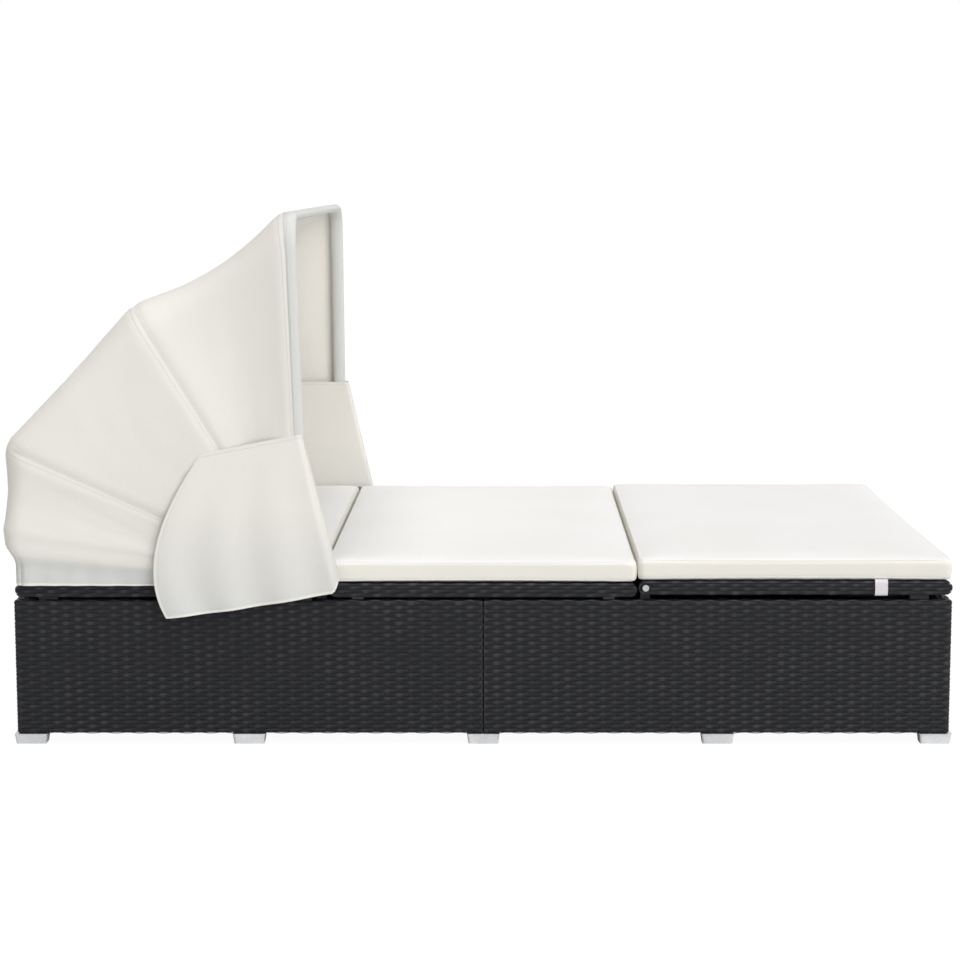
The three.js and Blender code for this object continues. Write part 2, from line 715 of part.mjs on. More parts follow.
const headCushionEnd = headHingeX + cushionFoldReach;
const legCushionEnd = legHingeX - cushionFoldReach;
const headPad = cushion(headEnd + headCushionInset, headCushionEnd, panelTop);
const seatPad = cushion(headCushionEnd + cushionGap, legCushionEnd - cushionGap, panelTop);
const legPad = cushion(legCushionEnd, legEnd - legCushionInset, panelTop + legSectionLift);
addPiece('head_cushion', headPad, 'cushion', headSection);
addPiece('seat_cushion', seatPad, 'cushion');
addPiece('leg_cushion', legPad, 'cushion', legSection);

// Straps that hold the leg cushion, from its seam down the panel's side and in under it
const strapWidth = 27;
const strapThickness = 1.4;
const strapInset = 153; // from the leg end to the strap's middle
const strapTuck = 34;
const strapLap = 8; // over the cushion's side

for (const { name, sign } of sides) {
  const x = legEnd - strapInset;
  const xRange = [x - strapWidth / 2, x + strapWidth / 2];
  const side = platformHalf + seatGap;
  const under = legPanel.bottom - seatGap;
  const top = panelTop + legSectionLift + seatGap + strapLap;
  const strap = join([
    bar(xRange, onSide(sign, side, side + strapThickness), [under - strapThickness, top]),
    bar(xRange, onSide(sign, side - strapTuck, side + strapThickness), [under - strapThickness, under]),
  ]);
  addPiece(`leg_strap_${name}`, toGeometry(strap), 'strap', legSection);
}

// Canopy: four bows on one pivot at each side, their flat tabs stacked on a stud
const bowRadius = 7;
const bowLegStart = 120; // from the pivot to where the round tube begins
const tabThickness = 3.5;
const tabHalfWidth = 7.5;
const tabEyeRadius = 13;
const tabOverlap = 14; // of the tab let into the tube's end
const studRadius = 5;
const studTip = 8;
const bendSteps = 6; // alike in bows and cloth, so that the cloth follows the tube's facets
const bracketThickness = 4;
const knobRadius = 18;
const knobLobe = 2.5;
const knobLobes = 6;
const knobThickness = 12;
const knobWeb = 3; // between the stud's bore and the knob's face

// Each bow has its angle up from the leg end's side, its reach from the pivot and its corners' bend.
// The rear bows' are tight, because the head section's own corners pass close inside them.
const frontReach = 764;
const secondReach = 662;
const thirdReach = 672;
const rearReach = 625;
const cornerBend = 65;
const thirdBend = 45;
const rearBend = 30;
const bows = [
  { name: 'front', angle: 91, reach: frontReach, bend: cornerBend },
  { name: 'second', angle: 121.1, reach: secondReach, bend: cornerBend },
  { name: 'third', angle: 155.5, reach: thirdReach, bend: thirdBend },
  { name: 'rear', angle: 172, reach: rearReach, bend: rearBend },
];
const bracketOuter = halfWidth + seatGap + bracketThickness;
const tabPitch = tabThickness + runningGap;
const stackOuter = bracketOuter + bows.length * tabPitch;
const legPlane = (bracketOuter + runningGap + stackOuter) / 2;
const tabInner = (index) => bracketOuter + runningGap + index * tabPitch;

for (const { name, sign } of sides) {
  const top = baseTop + shadowGap - runningGap;
  const bracketX = [pivotX - bracketHalfWidth, pivotX + bracketHalfWidth];
  const screws = bracketScrews.map((x) => round(
    [x, sign * bracketScrewY, baseTop - weaveThickness - bracketScrewLength],
    [x, sign * bracketScrewY, baseTop + seatGap + weld],
    bracketScrewRadius,
    12,
  ));
  const outerY = onSide(sign, halfWidth + seatGap, bracketOuter);
  const bracket = join([
    bar(bracketX, onSide(sign, bearingInner, bracketOuter), [baseTop + seatGap, top]),
    bar(bracketX, outerY, [baseTop + seatGap, pivotZ]),
    crossPin(pivotX, pivotZ, sign, halfWidth + seatGap, bracketOuter, bracketHalfWidth, 20),
    crossPin(pivotX, pivotZ, sign, bracketOuter - weld, stackOuter + seatGap + studTip, studRadius),
    ...screws,
  ]);
  addPiece(`canopy_bracket_${name}`, toGeometry(bracket), 'frame');
  const lobed = new THREE.Shape();
  const facets = knobLobes * 4;
  for (let i = 0; i < facets; i += 1) {
    const turn = 2 * Math.PI * i / facets;
    const radius = knobRadius - knobLobe + knobLobe * Math.cos(knobLobes * turn);
    const [x, z] = [pivotX + radius * Math.cos(turn), pivotZ + radius * Math.sin(turn)];
    if (i === 0) lobed.moveTo(x, z);
    else lobed.lineTo(x, z);
  }
  const knobInner = stackOuter + seatGap;
  const knob = plateAcross(lobed, onSide(sign, knobInner, knobInner + knobThickness));
  const bore = crossPin(pivotX, pivotZ, sign, knobInner - overrun,
    knobInner + knobThickness - knobWeb, studRadius + seatGap);
  addPiece(`canopy_knob_${name}`, toGeometry(knob.subtract(bore)), 'knob');
}

// Stations along a bow: distance from the pivot, place across the bed, and the way out of the hood
function bowStations({ reach, bend }, start, legSteps, turnSteps, barSteps) {
  const half = [];
  const straight = reach - bend;
  for (let i = 0; i <= legSteps; i += 1) {
    half.push({ radial: start + (straight - start) * i / legSteps, across: legPlane, lift: 0, out: 1 });
  }
  for (let i = 1; i <= turnSteps; i += 1) {
    const turn = Math.PI / 2 * i / turnSteps;
    half.push({
      radial: straight + bend * Math.sin(turn),
      across: legPlane - bend * (1 - Math.cos(turn)),
      lift: Math.sin(turn),
      out: Math.cos(turn),
    });
  }
  const crossHalf = legPlane - bend;
  for (let i = 1; i <= barSteps; i += 1) {
    half.push({ radial: reach, across: crossHalf * (1 - i / barSteps), lift: 1, out: 0 });
  }
  const near = half.map((s) => ({ ...s, across: -s.across, out: -s.out }));
  const far = half.slice(0, -1).reverse();
  return [...near, ...far];
}

// A point at a distance from the pivot along a bow's plane, and off that plane
function hoodPoint(angle, radial, across, offPlane = 0) {
  const turn = THREE.MathUtils.degToRad(angle);
  return new THREE.Vector3(
    pivotX + radial * Math.cos(turn) - offPlane * Math.sin(turn),
    across,
    pivotZ + radial * Math.sin(turn) + offPlane * Math.cos(turn),
  );
}

// A closed tube along stations, its section an ellipse of the given half height and half width
function sweptTube(angle, stations, halfHeight, halfWidthOff, facets) {
  return stations.map(({ radial, across, lift, out }) => {
    const ring = [];
    for (let i = 0; i < facets; i += 1) {
      const turn = 2 * Math.PI * i / facets;
      const away = halfHeight * Math.cos(turn);
      ring.push(hoodPoint(angle, radial + away * lift, across + away * out, halfWidthOff * Math.sin(turn)));
    }
    return ring;
  });
}

function tubeGeometry(rings) {
  const facets = rings[0].length;
  const points = rings.flat();
  const faces = [];
  for (let k = 0; k + 1 < rings.length; k += 1) {
    for (let i = 0; i < facets; i += 1) {
      const next = (i + 1) % facets;
      quad(faces, k * facets + i, k * facets + next, (k + 1) * facets + next, (k + 1) * facets + i);
    }
  }
  const last = (rings.length - 1) * facets;
  for (let i = 1; i + 1 < facets; i += 1) faces.push(0, i + 1, i, last, last + i, last + i + 1);
  return closedGeometry(points, faces);
}

function sleeveGeometry(outerRings, innerRings) {
  const facets = outerRings[0].length;
  const count = outerRings.length;
  const points = [...outerRings.flat(), ...innerRings.flat()];
  const inner = count * facets;
  const faces = [];
  for (let i = 0; i < facets; i += 1) {
    const next = (i + 1) % facets;
    for (let k = 0; k + 1 < count; k += 1) {
      const [a, b] = [k * facets, (k + 1) * facets];
      quad(faces, a + i, a + next, b + next, b + i);
      quad(faces, inner + a + i, inner + b + i, inner + b + next, inner + a + next);
    }
    const last = (count - 1) * facets;
    quad(faces, i, inner + i, inner + next, next);
    quad(faces, last + i, last + next, inner + last + next, inner + last + i);
  }
  return closedGeometry(points, faces);
}

function bowTab(angle, sign, index) {
  const turn = THREE.MathUtils.degToRad(angle);
  const [inner, outer] = [tabInner(index), tabInner(index) + tabThickness];
  const end = bowLegStart + tabOverlap;
  const corner = (radial, off) => new THREE.Vector2(
    pivotX + radial * Math.cos(turn) - off * Math.sin(turn),
    pivotZ + radial * Math.sin(turn) + off * Math.cos(turn),
  );
  const strip = new THREE.Shape([
    corner(0, -tabHalfWidth), corner(end, -tabHalfWidth), corner(end, tabHalfWidth), corner(0, tabHalfWidth),
  ]);
  const tab = join([
    plateAcross(strip, onSide(sign, inner, outer)),
    crossPin(pivotX, pivotZ, sign, inner, outer, tabEyeRadius, 16),
  ]);
  return cut(tab, [crossPin(pivotX, pivotZ, sign, inner - overrun, outer + overrun, studRadius + holePlay)]);
}

bows.forEach((bow, index) => {
  const { name, angle } = bow;
  const stations = bowStations(bow, bowLegStart, 1, bendSteps, 1);
  const rings = sweptTube(angle, stations, bowRadius, bowRadius, 10);
  const tabs = sides.map(({ sign }) => bowTab(angle, sign, index));
  addPiece(`canopy_${name}_bow`, toGeometry(join([toSolid(tubeGeometry(rings)), ...tabs])), 'bow');
});

// Canopy cloth: a sleeve on the front bow and three panels that hang between the bows
const clothThickness = 1.5;
const sleeveHalfWidth = 13;
const sleevePlay = 0.5;
const clothClear = 3; // from the tabs' ends to the cloth's lower ends
const clothStart = bowLegStart + tabOverlap + clothClear;
const clothPlay = 0.9; // between the panels and the bows they lie on
const seamGap = 0.4;
const sagShare = 0.03;
const hemLevel = 38; // of the rear hem above the panels
const hemLeast = 6; // of cloth below the rear bow's tube near the pivot
const hemRowShares = [0.5, 1];

const clothStations = (bow) => bowStations(bow, clothStart, 4, bendSteps, 3);
const sleeveInner = bowRadius + sleevePlay;
const sleeveOuter = sleeveInner + clothThickness;
const front = bows[0];
const sleeveStations = bowStations(front, clothStart, 2, bendSteps, 2);
addPiece('canopy_front_sleeve', sleeveGeometry(
  sweptTube(front.angle, sleeveStations, sleeveOuter, sleeveHalfWidth, 12),
  sweptTube(front.angle, sleeveStations, sleeveInner, sleeveHalfWidth - clothThickness, 12),
), 'canopy');

// The way out of the hood, square to the line between two bows' crossbars
function panelNormal(fore, aft) {
  const from = hoodPoint(fore.angle, fore.reach, 0);
  const to = hoodPoint(aft.angle, aft.reach, 0);
  const along = to.sub(from).normalize();
  return new THREE.Vector3(along.z, 0, -along.x);
}

const normals = [0, 1, 2].map((i) => panelNormal(bows[i], bows[i + 1]));
const behind = new THREE.Vector3(-1, 0, 0);
const mean = (a, b) => a.clone().add(b).normalize();
const bowNormals = [normals[0], mean(normals[0], normals[1]), mean(normals[1], normals[2]),
  mean(normals[2], behind)];
const clothOffset = bowRadius + clothPlay + clothThickness / 2;
const mitred = (index) => clothOffset / bowNormals[index].dot(normals[index - 1]);

// How far the cloth's middle stands off a bow, over its crossbar and beside its legs. On the front
// bow it lies on the sleeve, an ellipse that the panel meets at a slant.
const slant = THREE.MathUtils.degToRad(front.angle);
const slantUp = normals[0].x * Math.cos(slant) + normals[0].z * Math.sin(slant);
const slantBack = Math.sqrt(1 - slantUp ** 2);
const overSleeve = Math.hypot(sleeveOuter * slantUp, sleeveHalfWidth * slantBack);
const onSleeve = clothThickness / 2 + clothPlay;
const overOffsets = [overSleeve + onSleeve, mitred(1), mitred(2), mitred(3)];
const besideOffsets = [sleeveOuter + onSleeve, clothOffset, clothOffset, clothOffset];

function clothEdge(index) {
  const { angle } = bows[index];
  return clothStations(bows[index]).map(({ radial, across, lift, out }) => {
    const point = hoodPoint(angle, radial, across + besideOffsets[index] * out);
    return point.addScaledVector(bowNormals[index], overOffsets[index] * lift);
  });
}

function clothPanel(index, hemmed) {
  const fore = clothEdge(index);
  const aft = clothEdge(index + 1);
  const stations = clothStations(bows[index]);
  const steps = 4;
  const grid = [];
  for (let k = 0; k <= steps; k += 1) {
    grid.push(fore.map((from, i) => {
      const to = aft[i];
      const width = from.distanceTo(to);
      const first = index === 0 ? 0 : seamGap / width;
      const final = hemmed ? 1 : 1 - seamGap / width;
      const share = first + (final - first) * k / steps;
      const sag = sagShare * width * Math.sin(Math.PI * k / steps);
      const point = from.clone().lerp(to, share);
      point.addScaledVector(normals[index], -sag * stations[i].lift);
      point.y -= sag * stations[i].out;
      return point;
    }));
  }
  if (hemmed) {
    const hemZ = panelTop + hemLevel;
    for (const share of hemRowShares) {
      grid.push(aft.map((from) => {
        const drop = Math.max(from.z - hemZ, hemLeast);
        return from.clone().setZ(from.z - share * drop);
      }));
    }
  }
  return skinOver(grid, clothThickness);
}

addPiece('canopy_front_panel', clothPanel(0, false), 'canopy');
addPiece('canopy_middle_panel', clothPanel(1, false), 'canopy');
addPiece('canopy_rear_panel', clothPanel(2, true), 'canopy');

// Side flaps: loose cloth over each pivot, from the hood's side down past the panels' edge, and folded
// round the front bow's foot into a lining inside the hood. Their outline's places are shares of the
// front bow's reach, towards the leg end and up from the pivot.
const topForeShares = [0.005, 0.406];
const topAftShares = [-0.257, 0.356];
const bulgeShares = [-0.425, 0.079];
const lowAftShares = [-0.365, -0.103];
const lowForeShares = [0.099, -0.032];
const lowMiddleShares = [-0.15, -0.079];
const swellShare = 0.45; // of a flap's height, over which it comes out past the knob
const flapFoldDepth = 4;
const flapFolds = 3;
const flapStandOff = 3; // outside the knob
const flapColumns = 13;
const flapRows = 10;
const hemFoldSteps = 4;
const hemFoldReach = 9; // forward of the flap's fore edge
const liningColumns = 4;
const liningDepth = 150; // back from the flap's fold
const liningClear = 20; // above the brackets

function flapGrid(sign) {
  const place = ([along, up]) => new THREE.Vector2(pivotX + along * frontReach, pivotZ + up * frontReach);
  const [topFore, topAft, bulge] = [topForeShares, topAftShares, bulgeShares].map(place);
  const [lowFore, lowAft, lowMiddle] = [lowForeShares, lowAftShares, lowMiddleShares].map(place);
  const aftEdge = new THREE.QuadraticBezierCurve(topAft, bulge, lowAft);
  const foreEdge = new THREE.LineCurve(topFore, lowFore);
  const lowEdge = new THREE.QuadraticBezierCurve(lowAft, lowMiddle, lowFore);
  const topEdge = new THREE.LineCurve(topAft, topFore);
  const knobFace = stackOuter + seatGap + knobThickness;
  const outMost = knobFace + flapStandOff;
  const grid = [];
  for (let row = 0; row < flapRows; row += 1) {
    const v = row / (flapRows - 1);
    const line = [];
    for (let column = 0; column < flapColumns; column += 1) {
      const u = column / (flapColumns - 1);
      const across = aftEdge.getPoint(v).lerp(foreEdge.getPoint(v), u);
      const down = topEdge.getPoint(u).lerp(lowEdge.getPoint(u), v);
      const corners = topAft.clone().lerp(topFore, u).lerp(lowAft.clone().lerp(lowFore, u), v);
      const point = across.add(down).sub(corners);
      const swell = Math.min(v / swellShare, 1);
      const fold = flapFoldDepth * v * (1 + Math.sin(2 * Math.PI * flapFolds * u));
      const lap = legPlane + besideOffsets[0] + clothThickness + clothPlay;
      const out = lap + (outMost - lap) * swell * (2 - swell) + fold;
      line.push(new THREE.Vector3(point.x, sign * out, point.y));
    }
    const edge = line[flapColumns - 1].clone();
    const lining = halfWidth + clothThickness / 2;
    const radius = (sign * edge.y - lining) / 2;
    const lowest = pivotZ + bracketHalfWidth + liningClear;
    const level = lowest + (topFore.y - lowest) * (edge.z - lowFore.y) / (topFore.y - lowFore.y);
    for (let k = 1; k <= hemFoldSteps; k += 1) {
      const turn = Math.PI * k / hemFoldSteps;
      const across = sign * (lining + radius + radius * Math.cos(turn));
      const up = edge.z + (level - edge.z) * k / hemFoldSteps;
      line.push(new THREE.Vector3(edge.x + hemFoldReach * Math.sin(turn), across, up));
    }
    for (let k = 1; k <= liningColumns; k += 1) {
      line.push(new THREE.Vector3(edge.x - liningDepth * k / liningColumns, sign * lining, level));
    }
    grid.push(line);
  }
  return grid;
}

for (const { name, sign } of sides) {
  addPiece(`canopy_flap_${name}`, skinOver(flapGrid(sign), clothThickness), 'canopy');
}

export default daybed;
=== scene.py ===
import json
import math

import bpy
import numpy as np
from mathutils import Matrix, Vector, noise
from mathutils.bvhtree import BVHTree


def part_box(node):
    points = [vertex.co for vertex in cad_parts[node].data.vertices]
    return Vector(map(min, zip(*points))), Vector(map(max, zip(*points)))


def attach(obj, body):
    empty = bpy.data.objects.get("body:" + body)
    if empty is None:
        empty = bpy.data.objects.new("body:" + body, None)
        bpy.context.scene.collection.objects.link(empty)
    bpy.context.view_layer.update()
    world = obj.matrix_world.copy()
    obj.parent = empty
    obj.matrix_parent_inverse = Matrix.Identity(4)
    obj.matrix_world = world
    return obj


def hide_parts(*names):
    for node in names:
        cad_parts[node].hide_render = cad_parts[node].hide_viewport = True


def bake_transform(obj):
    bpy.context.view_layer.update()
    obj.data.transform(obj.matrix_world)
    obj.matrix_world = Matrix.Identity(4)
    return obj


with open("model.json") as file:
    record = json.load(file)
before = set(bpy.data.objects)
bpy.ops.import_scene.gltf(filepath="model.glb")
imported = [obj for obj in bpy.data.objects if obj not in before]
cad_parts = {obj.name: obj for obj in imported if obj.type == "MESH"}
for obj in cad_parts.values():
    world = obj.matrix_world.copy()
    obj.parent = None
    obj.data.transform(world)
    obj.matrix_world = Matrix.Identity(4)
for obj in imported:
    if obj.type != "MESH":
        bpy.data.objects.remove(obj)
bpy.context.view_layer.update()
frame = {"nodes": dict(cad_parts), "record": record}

nodes = frame["nodes"]
scene = bpy.context.scene
print("daybed frame loaded:", len(nodes), "solids")


# Small helpers for modelling


def deselectAll():
    if bpy.context.object and bpy.context.object.mode != "OBJECT":
        bpy.ops.object.mode_set(mode="OBJECT")
    bpy.ops.object.select_all(action="DESELECT")


def makeActive(piece):
    deselectAll()
    piece.select_set(True)
    bpy.context.view_layer.objects.active = piece


def applyModifiers(piece):
    makeActive(piece)
    for modifier in list(piece.modifiers):
        bpy.ops.object.modifier_apply(modifier=modifier.name)


def readPoints(piece):
    flat = np.empty(len(piece.data.vertices) * 3)
    piece.data.vertices.foreach_get("co", flat)
    return flat.reshape(-1, 3)


def writePoints(piece, places):
    piece.data.vertices.foreach_set("co", np.asarray(places, float).reshape(-1))
    piece.data.update()


def pickEdges(piece, chosen):
    # leaves the piece in edit mode with only the chosen edges selected
    makeActive(piece)
    bpy.ops.object.mode_set(mode="EDIT")
    bpy.ops.mesh.select_mode(type="EDGE")
    bpy.ops.mesh.select_all(action="DESELECT")
    bpy.ops.object.mode_set(mode="OBJECT")
    for edge in piece.data.edges:
        edge.select = chosen(*[piece.data.vertices[i].co for i in edge.vertices])
    bpy.ops.object.mode_set(mode="EDIT")


def pickPoints(piece, chosen):
    makeActive(piece)
    bpy.ops.object.mode_set(mode="EDIT")
    bpy.ops.mesh.select_mode(type="VERT")
    bpy.ops.mesh.select_all(action="DESELECT")
    bpy.ops.object.mode_set(mode="OBJECT")
    for vertex, picked in zip(piece.data.vertices, chosen):
        vertex.select = bool(picked)
    bpy.ops.object.mode_set(mode="EDIT")


def editWhole(piece, *steps):
    # runs edit mode operators, each with its settings, on the whole mesh
    makeActive(piece)
    bpy.ops.object.mode_set(mode="EDIT")
    bpy.ops.mesh.select_all(action="SELECT")
    for operator, settings in steps:
        operator(**settings)
    bpy.ops.object.mode_set(mode="OBJECT")


recalculate = (bpy.ops.mesh.normals_make_consistent, {"inside": False})


def repeat(piece, name, step, count):
    array = piece.modifiers.new(name, "ARRAY")
    array.use_relative_offset = False
    array.use_constant_offset = True
    array.constant_offset_displace = step
    array.count = count
    return array


def addNumbers(piece, name, values):
    attribute = piece.data.attributes.new(name, "FLOAT", "POINT")
    attribute.data.foreach_set("value", np.asarray(values, np.float32))


def smooth(piece, angle=40):
    makeActive(piece)
    bpy.ops.object.shade_smooth_by_angle(angle=math.radians(angle))


def finishPiece(piece, body, slotName, finish, *stoodFor):
    piece.data.materials.clear()
    piece.data.materials.append(finish)
    if body:
        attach(piece, body)
    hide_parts(*stoodFor)
    return piece


# Materials: an expression on sockets adds its Math nodes


class Signal:
    def __init__(self, paint, socket):
        self.paint = paint
        self.socket = socket

    def combine(self, operation, first, second=None):
        return self.paint.add("Math", {"operation": operation}, {0: first, 1: second})

    def __add__(self, other):
        return self.combine("ADD", self, other)

    def __radd__(self, other):
        return self.combine("ADD", other, self)

    def __sub__(self, other):
        return self.combine("SUBTRACT", self, other)

    def __rsub__(self, other):
        return self.combine("SUBTRACT", other, self)

    def __mul__(self, other):
        return self.combine("MULTIPLY", self, other)

    def __rmul__(self, other):
        return self.combine("MULTIPLY", other, self)

    def sine(self):
        return self.combine("SINE", self)

    def size(self):
        return self.combine("ABSOLUTE", self)


class Paint:
    def __init__(self, name):
        self.material = bpy.data.materials.new(name)
        self.material.use_nodes = True
        self.tree = self.material.node_tree
        self.shader = self.tree.nodes["Principled BSDF"]

    def add(self, kind, settings=None, inputs=None, output=0):
        node = self.tree.nodes.new("ShaderNode" + kind)
        for name, value in (settings or {}).items():
            setattr(node, name, value)
        for name, value in (inputs or {}).items():
            self.feed(self.find(node.inputs, name), value)
        return Signal(self, self.find(node.outputs, output))

    def find(self, sockets, name):
        if isinstance(name, int):
            return sockets[name]
        for socket in sockets:
            if socket.identifier == name:
                return socket
        return sockets[name]

    def feed(self, socket, value):
        if value is None:
            return
        if isinstance(value, Signal):
            self.tree.links.new(value.socket, socket)
        elif hasattr(value, "__len__") and len(value) == 3 and socket.type == "RGBA":
            socket.default_value = (*value, 1)
        else:
            socket.default_value = value

    def set(self, **inputs):
        for name, value in inputs.items():
            self.feed(self.shader.inputs[name.replace("_", " ")], value)

    def places(self):
        return self.add("TexCoord", output="Object")

    def flatMap(self):
        return self.add("UVMap")

    def number(self, name):
        return self.add("Attribute", {"attribute_name": name}, output="Fac")

    def split(self, places):
        return [self.add("SeparateXYZ", inputs={0: places}, output=axis) for axis in range(3)]

    def stretch(self, places, scale):
        return self.add("Mapping", inputs={"Vector": places, "Scale": scale})

    def clouds(self, places, scale, detail=2, roughness=0.5):
        inputs = {"Vector": places, "Scale": scale, "Detail": detail, "Roughness": roughness}
        return self.add("TexNoise", inputs=inputs)

    def blend(self, share, first, second):
        sockets = {"Factor_Float": share, "A_Color": first, "B_Color": second}
        return self.add("Mix", {"data_type": "RGBA"}, sockets, "Result_Color")

    def limit(self, value, low, high, toLow=0, toHigh=1):
        inputs = {"Value": value, "From Min": low, "From Max": high, "To Min": toLow, "To Max": toHigh}
        return self.add("MapRange", inputs=inputs)

    def relief(self, height, distance, strength=1):
        bump = self.add("Bump", inputs={"Strength": strength, "Distance": distance, "Height": height})
        self.set(Normal=bump)


def tone(red, green, blue):
    # a display colour of 0 to 255, as the linear values that sockets take
    shares = [value / 255 for value in (red, green, blue)]
    return tuple(s / 12.92 if s <= 0.04045 else ((s + 0.055) / 1.055) ** 2.4 for s in shares)


print("helpers ready")


# Camera, light and floor

view = {
    "place": (0.0503, -5.3963, 1.2158),
    "tilt": 82.35,
    "lens": 85.96,
    "shift": -0.02784,
}
camera = bpy.data.objects.new("camera", bpy.data.cameras.new("camera"))
scene.collection.objects.link(camera)
camera.location = view["place"]
camera.rotation_euler = (math.radians(view["tilt"]), 0, 0)
camera.data.sensor_width = 36
camera.data.lens = view["lens"]
camera.data.shift_x = view["shift"]
scene.camera = camera
scene.view_settings.view_transform = "Standard"

studio = {
    "ambient": 0.22,
    "sunStrength": 1.95,
    "sunTurn": (5, 0, -12),
    "sunSpread": 40,
    "fillStrength": 2.1,
    "fillTurn": (74, 0, 38),
    "fillSpread": 60,
    "floorSize": 400,
    "floorTone": tone(228, 228, 228),
    "floorGlow": 0.9,
    "glowStrength": 1.06,
    # painted shadow: the dark floor under the bed, its tone, and where it fades out along and across
    "underBedShadowTone": tone(58, 58, 60),
    "underBedShadowEnds": (0.96, 1.0),
    "underBedShadowNear": (-0.503, -0.480),
    "underBedShadowFar": (0.57, 0.60),
}
world = bpy.data.worlds.new("studio")
scene.world = world
world.use_nodes = True
air = world.node_tree
for old in list(air.nodes):
    air.nodes.remove(old)
airOut = air.nodes.new("ShaderNodeOutputWorld")
seen = air.nodes.new("ShaderNodeLightPath")
ambientLight = air.nodes.new("ShaderNodeBackground")
whiteSight = air.nodes.new("ShaderNodeBackground")
chooser = air.nodes.new("ShaderNodeMixShader")
for background, strength in ((ambientLight, studio["ambient"]), (whiteSight, 1)):
    background.inputs["Strength"].default_value = strength
    background.inputs["Color"].default_value = (1, 1, 1, 1)
# the world looks white, straight and in what shines, and gives only the ambient light
reach = seen.outputs["Is Camera Ray"]
for kind in ("Is Glossy Ray", "Is Transmission Ray"):
    joined = air.nodes.new("ShaderNodeMath")
    joined.operation = "MAXIMUM"
    air.links.new(reach, joined.inputs[0])
    air.links.new(seen.outputs[kind], joined.inputs[1])
    reach = joined.outputs[0]
air.links.new(reach, chooser.inputs[0])
air.links.new(ambientLight.outputs[0], chooser.inputs[1])
air.links.new(whiteSight.outputs[0], chooser.inputs[2])
air.links.new(chooser.outputs[0], airOut.inputs["Surface"])

for name in ("sun", "fill"):
    lamp = bpy.data.objects.new(name, bpy.data.lights.new(name, "SUN"))
    scene.collection.objects.link(lamp)
    lamp.rotation_euler = [math.radians(turn) for turn in studio[f"{name}Turn"]]
    lamp.data.energy = studio[f"{name}Strength"]
    lamp.data.angle = math.radians(studio[f"{name}Spread"])

deselectAll()
bpy.ops.mesh.primitive_plane_add(size=studio["floorSize"], location=(0, 0, 0))
floor = bpy.context.object
floor.name = "floor"
ground = Paint("palePlainFloor")
groundX, groundY = ground.split(ground.places())[:2]
# painted shadow under the bed: the floor there is blended to the dark tone, and it gets no glow
underBedShadow = ground.limit(groundX.size(), *studio["underBedShadowEnds"], 1, 0)
underBedShadow = underBedShadow * ground.limit(groundY, *studio["underBedShadowNear"])
underBedShadow = underBedShadow * ground.limit(groundY, *studio["underBedShadowFar"], 1, 0)
ground.set(Base_Color=ground.blend(underBedShadow, studio["floorTone"], studio["underBedShadowTone"]), Roughness=0.9)
ground.shader.inputs["Specular IOR Level"].default_value = 0.1
# to the camera the open floor glows white, so that it joins the background
glow = ground.add("Emission", inputs={"Color": (1, 1, 1), "Strength": studio["glowStrength"]})
glowing = ground.add("LightPath", output="Is Camera Ray") * (1 - underBedShadow) * studio["floorGlow"]
plain = Signal(ground, ground.shader.outputs[0])
surface = ground.add("MixShader", inputs={0: glowing, 1: plain, 2: glow})
ground.tree.links.new(surface.socket, ground.tree.nodes["Material Output"].inputs["Surface"])
floor.data.materials.append(ground.material)
print("camera, light and floor made")


# Finishes

finishes = {}


def rattanFinish(name, dark, light):
    # flat plastic strand: fine ridges along it, and a painted highlight, paler, where it stands out
    paint = Paint(name)
    across = paint.number("across")
    proud = paint.number("proud")
    spot = paint.places()
    patches = paint.clouds(spot, 16, 2)
    grain = paint.clouds(paint.stretch(spot, (40, 40, 900)), 1.5, 2)
    # painted highlight: where the strand bulges out (proud) it is blended towards the light tone, in uneven
    # patches; the grain along it is its own tone
    crest = paint.limit(proud, 0.45, 0.95)
    shade = crest * (0.3 + paint.limit(patches, 0.38, 0.66) * 0.75) + grain * 0.16
    colour = paint.blend(shade, dark, light)
    paint.set(Base_Color=colour, Roughness=paint.limit(grain, 0.3, 0.7, 0.42, 0.55))
    paint.shader.inputs["Specular IOR Level"].default_value = 0.22
    ridges = (across * 9.4).sine() * 0.5 + grain * 0.5
    paint.relief(ridges, 0.0002, 0.6)
    return paint.material


def wovenBackFinish(name, dark, period=0.051, rowHeight=0.0084):
    # the weave's inner side, near-black as painted shade in the gaps between the strands: its stitches as
    # bumps, and paler on their raised half as a painted highlight
    paint = Paint(name)
    x, y, z = paint.split(paint.places())
    stitches = ((x + y) * (2 * math.pi / period)).sine() * (z * (math.pi / rowHeight)).sine()
    stitchHighlight = tuple(2.2 * v for v in dark)
    paint.set(Base_Color=paint.blend(stitches * 0.5 + 0.5, dark, stitchHighlight), Roughness=0.6)
    paint.relief(stitches, 0.001, 0.7)
    return paint.material


def coatedMetalFinish(name, colour, roughness, metallic):
    # fine orange peel in the coat, a little paler and smoother where it is worn
    paint = Paint(name)
    spot = paint.places()
    orangePeel = paint.clouds(spot, 900, 2)
    wear = paint.clouds(spot, 14, 3)
    paler = tuple(min(1, v * 1.35 + 0.004) for v in colour)
    paint.set(Base_Color=paint.blend(paint.limit(wear, 0.45, 0.75), colour, paler), Metallic=metallic)
    paint.set(Roughness=paint.limit(wear, 0.3, 0.7, roughness - 0.06, roughness + 0.08))
    paint.relief(orangePeel, 0.00008, 0.5)
    return paint.material


def plasticFinish(name, colour, roughness):
    # moulded: a fine grain, and broad darker patches
    paint = Paint(name)
    spot = paint.places()
    fine = paint.clouds(spot, 420, 2)
    broad = paint.clouds(spot, 22, 2)
    darker = tuple(v * 0.88 for v in colour)
    dullness = paint.limit(fine, 0.2, 0.8, roughness - 0.05, roughness + 0.05)
    paint.set(Base_Color=paint.blend(broad, colour, darker), Roughness=dullness)
    paint.relief(fine, 0.00006, 0.5)
    return paint.material


